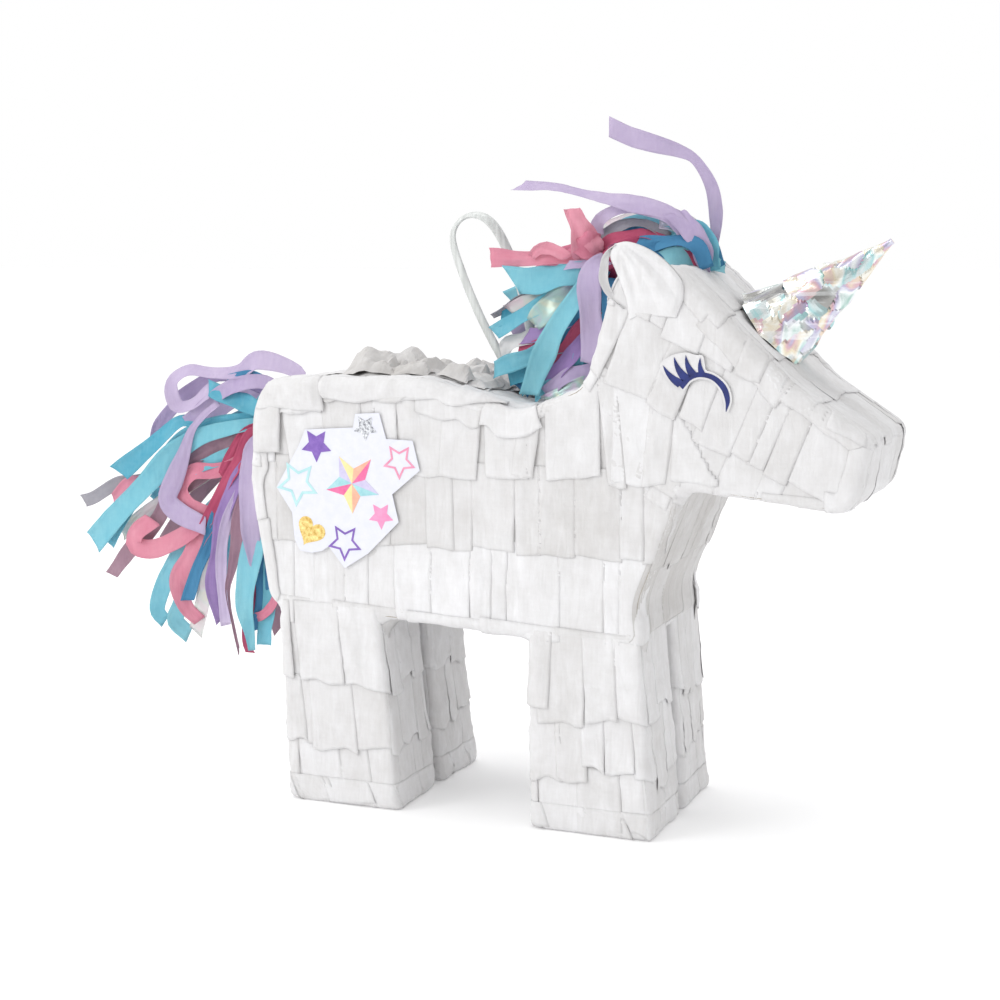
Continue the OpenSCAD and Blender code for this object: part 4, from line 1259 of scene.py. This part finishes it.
def crown():
    """Arched streamers over the poll, and the two long ones that stand up from it."""
    bunch = Bunch(303)
    arches = [
        ("crimson", 5, 0.5, [(61, -6, 57), (57, -6, 64), (47, -6, 67), (37, -6, 69), (26, -7, 67),
         (21, -7, 63)]),
        ("blue", 7, 0.5, [(65, -8, 56), (62, -9, 63), (56, -9, 66), (46, -9, 65), (38, -9, 65),
         (31, -9, 63)]),
        ("aqua", 7, 0.6, [(62, 0, 56), (56, 0, 67), (47, 0, 72), (38, 0, 74), (29, 0, 73),
         (20, 0, 68)]),
        ("grey", 5, 0.3, [(48, -3, 68), (38, -3, 73), (28, -4, 72), (20, -4, 68)]),
        ("film", 6, 0.6, [(66, -2, 56), (61, -3, 66), (54, -3, 71), (44, -3, 74)]),
        ("lilac", 7, 0.7, [(62, -4, 56), (58, -4, 69), (49, -4, 76), (40, -4, 78), (28, -4, 78),
         (20, -4, 74), (18, -3, 66)]),
        ("lilac", 8, 0.5, [(64, -7, 56), (62, -7, 64), (57, -6, 71), (50, -5, 77)]),
        ("aqua", 8, 0.4, [(66, -4, 55), (64, -4, 65), (58, -3, 71), (50, -2, 73)]),
        ("blue", 8, 0.6, [(66, 4, 56), (58, 5, 69), (44, 5, 73), (30, 5, 70), (22, 5, 62)]),
        ("aqua", 9, 0.5, [(64, 9, 56), (56, 10, 68), (44, 10, 74), (30, 10, 72), (16, 10, 62)]),
        ("lilac", 8, 0.6, [(64, 13, 55), (56, 14, 66), (44, 14, 71), (30, 14, 68), (14, 14, 60)]),
        ("mauve", 8, 0.5, [(60, 17, 55), (52, 18, 62), (40, 18, 66), (28, 18, 62)]),
        ("cream", 7, 0.5, [(64, 6, 57), (54, 7, 72), (40, 7, 77), (24, 7, 74), (8, 7, 66)])]
    bunch.lay(NAPE, arches, facing=(-0.1, -0.75, 0.7))
    for x, z, y, colour in ((46, 60, -12, "blue"), (54, 58, -10, "aqua"),
                            (38, 62, -10, "crimson")):
        bunch.ribbon(colour, [NAPE + p for p in [
            (x + 14, 6, z - 2), (x + 6, y * 0.4, z + 2), (x - 4, y, z + 2),
            (x - 14, y * 1.1, z - 4)]], width=7)
    bunch.build("mane_crown_streamers", "lilac_tissue", "mane_crown_bunch")

    tall = Bunch(404)
    tall.ribbon("lilac", [NAPE + p for p in [
        (60, 17, 52), (60, 18, 60), (61, 19, 73), (59, 19, 87), (52, 20, 98), (45, 20, 102),
        (35, 19, 105), (25, 19, 108), (16, 18, 112)]], width=[5, 5, 6, 5, 4, 6, 8, 8],
        tone=0.6, rumple=0.5, turn=(0.12, 0.0), facing=(0.1, -1, 0.5), cut=2.0)
    tall.build("mane_tall_ribbon", "lilac_tissue", "mane_tall_streamer")
    rear = Bunch(505)
    rear.ribbon("lilac", [NAPE + p for p in [
        (63, -4, 54), (61, -5, 62), (55, -5, 70), (49, -5, 76), (41, -5, 79), (31, -5, 81),
        (16, -5, 84), (2, -5, 87), (-14, -5, 88)]], width=[6, 7, 7, 7, 6, 6.5, 7], tone=0.65,
        rumple=0.6, turn=(0.1, -0.05), facing=(0.1, -0.8, 0.8))
    rear.build("mane_rear_ribbon", "lilac_tissue", "mane_rear_streamer")


# As MANE_RIGHT, off the tail's root
TAIL_UPPER = [
    ("aqua", 8, 0.3, [(0, 6, 0), (-24, 12, -2), (-52, 16, -18), (-76, 16, -44)]),
    ("lilac", 8, 0.5, [(0, 6, 4), (-20, 13, 8), (-44, 17, -2), (-62, 18, -24)]),
    ("mauve", 7, 0.5, [(0, 5, -4), (-28, 13, -16), (-54, 16, -40), (-72, 16, -62)]),
    ("grey", 6, 0.5, [(0, 3, -4), (-36, 4, -20), (-73, 3, -32), (-87, 3, -34), (-100, 3, -41),
     (-106, 3, -43)], {"cut": 1.0}),
    ("pink", 6, 0.6, [(0, 1, -5), (-30, 1, -22), (-56, 0, -30), (-71, 0, -33), (-80, 0, -34),
     (-88, 0, -42)]),
    ("cream", 6, 0.2, [(0, 0, -6), (-34, -1, -26), (-55, -2, -37), (-70, -2, -46), (-82, -2, -56)]),
    ("lilac", 6, 0.2, [(0, 3, 6), (-30, 4, 16), (-50, 4, 8), (-58, 4, 1), (-65, 4, -7), (-67, 4, -14)]),
    ("mauve", 7, 0.5, [(0, -1, -4), (-36, -3, -26), (-54, -4, -37), (-62, -4, -48), (-69, -4, -56),
     (-76, -4, -62), (-87, -4, -75)], {"cut": 1.5}),
    ("aqua", 8, 0.45, [(0, -2, -2), (-24, -4, -4), (-46, -5, -11), (-59, -5, -24), (-72, -5, -38),
     (-88, -5, -60)]),
    ("aqua", [6, 6, 5, 8, 9], 0.25, [(0, -2, 1), (-21, -5, -3), (-38, -5, -5), (-48, -5, -4),
     (-59, -5, -12), (-70, -5, -20), (-81, -5, -28)]),
    ("mauve", [4, 6, 7, 5], 0.4, [(0, -2, -3), (-15, -4, -7), (-29, -4, -13), (-39, -4, -18),
     (-54, -4, -27)], {"rumple": 1.0}),
    ("pink", 7, 0.45, [(0, -3, -5), (-19, -6, -21), (-31, -6, -25), (-42, -6, -26), (-48, -6, -33),
     (-44, -7, -40), (-32, -7, -45)], {"rumple": 1.0}),
    ("aqua", 6, 0.6, [(0, -3, -6), (-16, -5, -14), (-30, -5, -20), (-40, -5, -24)]),
    ("pink", [6, 7, 8, 9, 8], 0.55, [(0, -3, -7), (-20, -6, -34), (-38, -7, -48), (-48, -7, -55),
     (-62, -7, -61), (-72, -7, -60), (-70, -8, -54), (-62, -8, -48)], {"rumple": 0.9}),
    ("aqua", [5, 7, 10, 11, 11], 0.65, [(0, -2, -1), (-12, -6, -4), (-22, -7, -6), (-37, -7, -10),
     (-51, -7, -18), (-65, -7, -32), (-80, -7, -46), (-94, -7, -60)], {"rumple": 0.5, "cut": -1.0}),
    ("lilac", [4, 3, 6, 9, 9, 8], 0.55, [(-28, -7, 5), (-35, -9, -1), (-41, -9, -8), (-45, -9, -18),
     (-50, -9, -29), (-53, -10, -38), (-47, -10, -44), (-34, -10, -49)], {"rumple": 0.5, "cup": 0.02}),
    ("blue", 4, 0.7, [(0, -2, 8), (-8, -3, 15), (-16, -3, 17), (-26, -3, 15)]),
    ("lilac", [5, 7, 8, 7, 6, 6, 7, 7], 0.7, [(2, -1, 6), (8, -2, 14), (9, -2, 18), (-1, -2, 22),
     (-12, -2, 23), (-20, -2, 18), (-33, -2, 17), (-45, -2, 18), (-53, -2, 14), (-54, -3, 8),
     (-50, -4, 2), (-41, -5, 4), (-33, -5, 10)], {"rumple": 0.4, "facing": (0.1, -0.9, 0.5)}),
    ("lilac", 7, 0.45, [(2, -2, 8), (-7, -4, 14), (-18, -5, 13), (-28, -5, 9), (-34, -5, 4),
     (-40, -5, -1), (-46, -5, -5)], {"rumple": 0.4}),
    ("aqua", 5, 0.4, [(0, -2, 6), (-4, -4, 10), (-9, -4, 5), (-12, -4, 1)]),
    ("aqua", [6, 8, 7], 0.3, [(0, -3, 0), (-8, -5, 2), (-16, -5, 5), (-24, -5, 7), (-34, -5, 11)],
     {"rumple": 0.5}),
    ("crimson", [4, 6, 5], 0.35, [(0, -4, -3), (-11, -7, -6), (-17, -7, -11), (-22, -7, -18),
     (-27, -7, -27)], {"rumple": 1.0})]
TAIL_LOWER = [
    ("aqua", 7, 0.4, [(0, 5, -6), (-22, 10, -36), (-36, 13, -68), (-40, 13, -88)]),
    ("lilac", 7, 0.5, [(0, 4, -8), (-14, 8, -42), (-20, 10, -76), (-24, 10, -94)]),
    ("mauve", 7, 0.4, [(0, 2, -8), (-8, 6, -44), (-12, 8, -80), (-8, 8, -96)]),
    ("blue", 8, 0.5, [(2, -1, -8), (-4, -6, -40), (-6, -8, -64), (-6, -8, -76), (-8, -8, -88),
     (-9, -8, -93)]),
    ("aqua", 7, 0.5, [(2, 0, -9), (-2, -6, -50), (-4, -8, -82), (-6, -8, -91), (-7, -8, -100)]),
    ("crimson", 4, 0.4, [(-8, -5, -60), (-14, -8, -86), (-16, -8, -98), (-14, -8, -104)]),
    ("cream", 7, 0.3, [(0, -2, -7), (-20, -4, -40), (-33, -5, -58), (-37, -5, -74), (-40, -5, -87),
     (-43, -5, -98)]),
    ("aqua", 7, 0.75, [(0, -1, -7), (-24, -4, -40), (-45, -6, -70), (-50, -6, -85), (-53, -6, -93),
     (-46, -6, -99)]),
    ("aqua", [5, 7, 9, 6], 0.6, [(0, -1, -7), (-26, -3, -34), (-45, -5, -55), (-54, -5, -68),
     (-60, -5, -79), (-63, -5, -89), (-59, -5, -94)]),
    ("pink", [6, 8, 8, 9, 6], 0.6, [(0, -2, -7), (-22, -6, -34), (-38, -7, -54), (-44, -7, -65),
     (-50, -7, -75), (-47, -7, -86), (-40, -7, -92)]),
    ("blue", [4, 5, 6], 0.6, [(0, -3, -7), (-18, -7, -26), (-29, -8, -43), (-34, -8, -57),
     (-40, -8, -69), (-45, -8, -83)], {"cut": 1.5}),
    ("purple", [5, 7, 7, 6], 0.55, [(0, -4, -6), (-16, -9, -24), (-21, -10, -35), (-26, -10, -47),
     (-28, -10, -61), (-31, -10, -75), (-27, -10, -90)]),
    ("lilac", 5, 0.7, [(-16, -9, -30), (-24, -11, -50), (-26, -11, -70), (-24, -11, -92)]),
    ("crimson", [6, 6, 5], 0.5, [(0, -4, -6), (-11, -8, -8), (-18, -9, -21), (-26, -9, -33),
     (-35, -9, -49)]),
    ("mauve", [4, 6, 7, 3, 1.2, 1.2], 0.25, [(-8, -9, -20), (-16, -11, -42), (-18, -11, -56),
     (-21, -11, -68), (-23, -11, -79), (-18, -11, -103)]),
    ("aqua", [7, 10, 11, 7, 3], 0.7, [(-6, -8, -36), (-10, -12, -60), (-13, -12, -73), (-14, -12, -84),
     (-12, -12, -94), (-11, -12, -102)], {"rumple": 0.4, "cut": 0.0}),
    ("pink", 4, 0.4, [(0, -5, -70), (-1, -9, -80), (-6, -9, -86), (-11, -9, -88)]),
    ("lilac", [6, 8, 9, 8, 4], 0.6, [(0, -5, -5), (-8, -11, -12), (-10, -12, -20), (-11, -12, -32),
     (-11, -12, -44), (-10, -12, -55), (-9, -12, -66)], {"rumple": 0.5})]


def tail():
    """The tail: looped lilac on top, broad aqua to the rear, pinks and film below."""
    for half, seed, ribbons, slot in (("upper", 606, TAIL_UPPER, "aqua_tissue"),
                                      ("lower", 707, TAIL_LOWER, "pink_tissue")):
        bunch = Bunch(seed)
        bunch.lay(TAIL, ribbons)
        bunch.build(f"tail_{half}_streamers", slot, f"tail_{half}_bunch")


def tail_wrap():
    """Lilac tissue wound round the tail's root."""
    sheets = Sheets()
    radius = (TAIL_HI[2] - TAIL_LO[2]) / 2 - 0.3
    x, angle = np.broadcast_arrays(np.linspace(TAIL_LO[0], TAIL_HI[0], 24)[:, None],
                                   np.linspace(0, 2 * math.pi, 40, endpoint=False)[None, :])
    wound = 0.35 * zigzag(x / 5 + angle / (2 * math.pi) * 2)
    tube = xyz(x, radius * np.cos(angle), radius * np.sin(angle))
    r = radius + wound + 0.3 * noise_c(tube, 3)
    points = xyz(x, r * np.cos(angle), TAIL[2] + r * np.sin(angle))
    sheets.grid(points, closed=True)
    sheets.fan(points[0])
    sheets.fan(points[-1][::-1])
    sheets.build("tail_root_wrap", [STREAMERS["lilac"]], "tail_binding", slot="lilac_tissue")


# ---------------------------------------------------------------- stickers
def star(x, z, radius, turn=-90.0):
    """Corners of a five-pointed star, tips and dents in turn."""
    corners = []
    for k in range(10):
        angle = math.radians(turn + k * 36)
        r = radius * (1 if k % 2 == 0 else 0.5)
        corners.append((x + r * math.cos(angle), z + r * math.sin(angle)))
    return np.array(corners)


def heart(x, z, size, turn):
    """Outline of a heart, turned by an angle in radians."""
    t = np.linspace(0, 2 * math.pi, 40, endpoint=False)
    hx = np.sin(t) ** 3
    hz = (13 * np.cos(t) - 5 * np.cos(2 * t) - 2 * np.cos(3 * t) - np.cos(4 * t)) / 16
    c, s = math.cos(turn), math.sin(turn)
    return np.stack([x + size * (hx * c - hz * s), z + size * (hx * s + hz * c)], 1)


HIP_INKS = {
    "paper": print_ink("sticker_paper", (222, 224, 233), (228, 229, 238)),
    "purple": print_ink("star_purple", (118, 84, 172), (142, 108, 190)),
    "light blue": print_ink("star_light_blue", (172, 218, 222), (190, 228, 230)),
    "pink line": print_ink("star_pink_line", (226, 140, 172), (236, 160, 188)),
    "pink": print_ink("star_pink", (236, 138, 184), (244, 158, 198)),
    "gold": print_ink("heart_gold", (202, 158, 66), (250, 228, 156), 0.45, 0.4, 520),
    "silver": print_ink("star_silver", (120, 122, 130), (238, 240, 244), 0.7, 0.3, 900),
    "peach": print_ink("facet_peach", (240, 170, 146), (248, 188, 160)),
    "yellow": print_ink("facet_yellow", (248, 218, 150), (252, 230, 170)),
    "aqua": print_ink("facet_aqua", (150, 206, 214), (174, 220, 224)),
    "lilac": print_ink("facet_lilac", (196, 188, 222), (212, 206, 232)),
    "rose": print_ink("facet_rose", (228, 96, 150), (238, 120, 168))}
EYE_INKS = {
    "paper": print_ink("eye_paper", (214, 213, 214), (224, 223, 224)),
    "navy": print_ink("navy_ink", (20, 32, 92), (30, 46, 118), roughness=0.45)}
LAYER = 0.12                             # from one printed layer up to the next


class Sticker:
    """Flat printed shapes over one paper shape, on one side of the body."""

    def __init__(self, side, centre, inks):
        self.side, self.centre, self.inks, self.sheets = side, centre, inks, Sheets()

    def lift(self, layer):
        return self.side * (SKIN + STICKER_LIFT + layer * LAYER)

    def face(self, outline, layer, ink):
        x, z = (np.asarray(outline, float) + self.centre).T
        points = xyz(x, self.lift(layer), z)
        self.sheets.fan(points if self.side < 0 else points[::-1],
                        slot=list(self.inks).index(ink))

    def ring(self, outline, inner, layer, ink):
        """The band between two outlines that have as many points."""
        outline, inner = outline + self.centre, inner + self.centre
        y = self.lift(layer)
        for k in range(len(outline)):
            j = (k + 1) % len(outline)
            rim = [outline[k], outline[j], inner[j], inner[k]]
            self.sheets.fan([(x, y, z) for x, z in rim], slot=list(self.inks).index(ink))

    def build(self, name, node, slot, thickness):
        self.sheets.build(name, list(self.inks.values()), node, slot=slot,
                          thickness=thickness, smooth=False)


def hip_sticker(side, name):
    """The sticker sheet on the rump: stars, a heart and one big star of ten facets."""
    sticker = Sticker(side, HIP, HIP_INKS)
    sheet = [(-32, -1.5), (-26, 8.5), (-22, 15), (-18.5, 22.5), (3, 24), (4, 29.5), (14.5, 30.2),
             (17.5, 20), (29, 19.7), (32, 8), (20, -2), (22.7, -13), (9, -26.5), (-1.4, -33),
             (-8.5, -24.5), (-11.5, -26.5), (-16, -27.6), (-21.5, -27), (-24, -22.5), (-25, -11.5)]
    sticker.face(sheet, 0, "paper")
    sticker.face(star(-13.5, 16.4, 7), 1, "purple")
    for x, z, r, turn, ink in ((-22.2, 0.5, 9.8, -95, "light blue"),
                               (23.2, 11.3, 7.4, -90, "pink line"),
                               (-1.2, -22.4, 7.9, -92, "purple")):
        sticker.ring(star(x, z, r, turn=turn), star(x, z, r * 0.76, turn=turn), 1, ink)
    sticker.face(star(15, -10.8, 5.6, turn=-88), 1, "pink")
    sticker.face(heart(-16.7, -18.8, 6.4, -0.5), 1, "gold")
    sticker.face(star(8.5, 24.2, 5.4), 1, "silver")
    # Each arm of the big star is two facets, from the bottom arm round to the left one
    arms = [(2.4, -10.6), (14.2, -2.4), (10.8, 11.6), (-3.4, 12.2), (-9.2, -1.4)]
    inks = [("yellow", "peach"), ("aqua", "lilac"), ("rose", "peach"), ("yellow", "lilac"),
            ("aqua", "rose")]
    centre = np.array([2.3, 1.5])
    for k, (before, after) in enumerate(inks):
        tip = np.array(arms[k])
        for other, ink in ((arms[k - 1], before), (arms[(k + 1) % 5], after)):
            dent = unit_rows((tip - centre) / 12 + (np.array(other) - centre) / 12) * 6.1
            sticker.face([centre, tip, centre + dent], 1, ink)
    sticker.build(f"{name}_star_sticker", f"{name}_hip_sticker", "star_sticker", 0.09)


def eye_sticker(side, name):
    """A closed eye: an arc that thins towards the nose, with four curved lashes."""
    sticker = Sticker(side, EYE, EYE_INKS)
    # Along the arc: [x, z, width], from the nose's end
    arc = smooth_line([(11.2, -0.9, 0.2), (11.7, 3.3, 1.8), (10.1, 7.9, 2.2), (6.1, 11.4, 1.9),
                       (1.2, 12.4, 1.8), (-2.9, 11.2, 2.2), (-6.4, 7.9, 3.0)], 6)
    along = unit_rows(np.gradient(arc[:, :2], axis=0))
    out = np.stack([along[:, 1], -along[:, 0]], 1)

    def band(margin):
        half = arc[:, 2:] / 2 + margin
        return arc[:, :2] + out * half, arc[:, :2] - out * half

    outer, inner = band(0.75)
    crest = smooth_line([(3.2, 14.4), (2.2, 19.2), (-0.6, 19.6), (-4.6, 20.4), (-9.6, 19.3),
                         (-13.9, 16.4), (-13.6, 13.4), (-10.8, 9.6)], 4)
    sticker.face(np.vstack([outer[:-15], crest, inner[::-1]]), 0, "paper")
    outer, inner = band(0)
    sticker.face(np.vstack([outer, inner[::-1]]), 1, "navy")
    for foot, tip, wide, bend in (((-5.9, 8.8), (-13, 15.6), 1.8, 0.9),
                                  ((-3.9, 10.8), (-8.8, 18.8), 1.8, 0.9),
                                  ((-1.1, 12), (-4.3, 19.5), 1.7, 0.8),
                                  ((2.1, 12.4), (1.2, 18.6), 1.3, 0.5)):
        foot, tip = np.array(foot), np.array(tip)
        way = unit_rows(tip - foot)
        across = np.array([way[1], -way[0]])
        t = np.linspace(0, 1, 7)[:, None]
        spine = foot + (tip - foot) * t - across * bend * 4 * t * (1 - t)
        half = wide * (1 - t) ** 0.8 * across
        sticker.face(np.vstack([spine - half, (spine + half)[-2::-1]]), 2, "navy")
    sticker.build(f"{name}_closed_eye", f"{name}_eye_sticker", "navy_ink", 0.05)


# ---------------------------------------------------------------- carried-over parts
def finish_card_parts():
    """Materials for the CAD pieces that stay: board, the toggle's wood and the mane's strip."""
    looks = {"toggle": WOOD, "mane_strip": STREAMERS["lilac"]}
    for name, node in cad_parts.items():
        if node.hide_render:
            continue
        look = next((m for key, m in looks.items() if key in name), CARD)
        node.data.materials.clear()
        node.data.materials.append(look)


# ---------------------------------------------------------------- studio
FLOOR_HALF = 40.0                        # metres from the middle to the floor's edge


def studio():
    """A white sky, two soft lamps and a white floor."""
    world = bpy.data.worlds.new("studio")
    bpy.context.scene.world = world
    world.use_nodes = True
    tree = world.node_tree
    # The sky is white behind the object and dimmer on its far right and near side
    way = tree.nodes.new("ShaderNodeTexCoord")
    dot = tree.nodes.new("ShaderNodeVectorMath")
    dot.operation = "DOT_PRODUCT"
    tree.links.new(way.outputs["Generated"], dot.inputs[0])
    dot.inputs[1].default_value = Vector((-0.8, 0.35, 0.45)).normalized()
    fade = tree.nodes.new("ShaderNodeMapRange")
    tree.links.new(dot.outputs["Value"], fade.inputs["Value"])
    for key, value in (("From Min", -0.9), ("From Max", 0.3), ("To Min", 0.68), ("To Max", 1.0)):
        fade.inputs[key].default_value = value
    sky = tree.nodes["Background"]
    sky.inputs["Color"].default_value = (1, 1, 1, 1)
    tree.links.new(fade.outputs["Result"], sky.inputs["Strength"])
    for name, place, size, power in (
            ("key", (-1100, -1200, 900), 800, 8), ("top", (-200, 100, 1500), 900, 4)):
        lamp = bpy.data.lights.new(name, "AREA")
        lamp.size, lamp.energy = size * MM, power
        light = bpy.data.objects.new(name, lamp)
        light.location = Vector(place) * MM
        light.rotation_euler = (Vector(place) - target).to_track_quat("Z", "Y").to_euler()
        bpy.context.scene.collection.objects.link(light)
    mesh = bpy.data.meshes.new("floor")
    r = FLOOR_HALF
    mesh.from_pydata([(-r, -r, 0), (r, -r, 0), (r, r, 0), (-r, r, 0)], [], [(0, 1, 2, 3)])
    m = Nodes("floor")
    m.set(Base_Color=m.ramp(m.noise(3, detail=2), [
        (0.3, (250, 250, 251)), (0.7, (253, 253, 253))]), Roughness=0.9,
          Emission_Color=(1, 1, 1, 1), Emission_Strength=0.1)
    mesh.materials.append(m.material)
    floor = bpy.data.objects.new("floor", mesh)
    bpy.context.scene.collection.objects.link(floor)
    bpy.context.scene.view_settings.view_transform = "Standard"


strap()
under_layer()
for side, name in SIDES:
    torso_rows(side, name)
    head_rows(side, name)
    ear(side, name)
    hip_sticker(side, name)
    eye_sticker(side, name)
gussets()
leg_fringe()
soles()
rump_folds()
ruffles()
horn()
mane()
crown()
tail()
tail_wrap()
finish_card_parts()
studio()
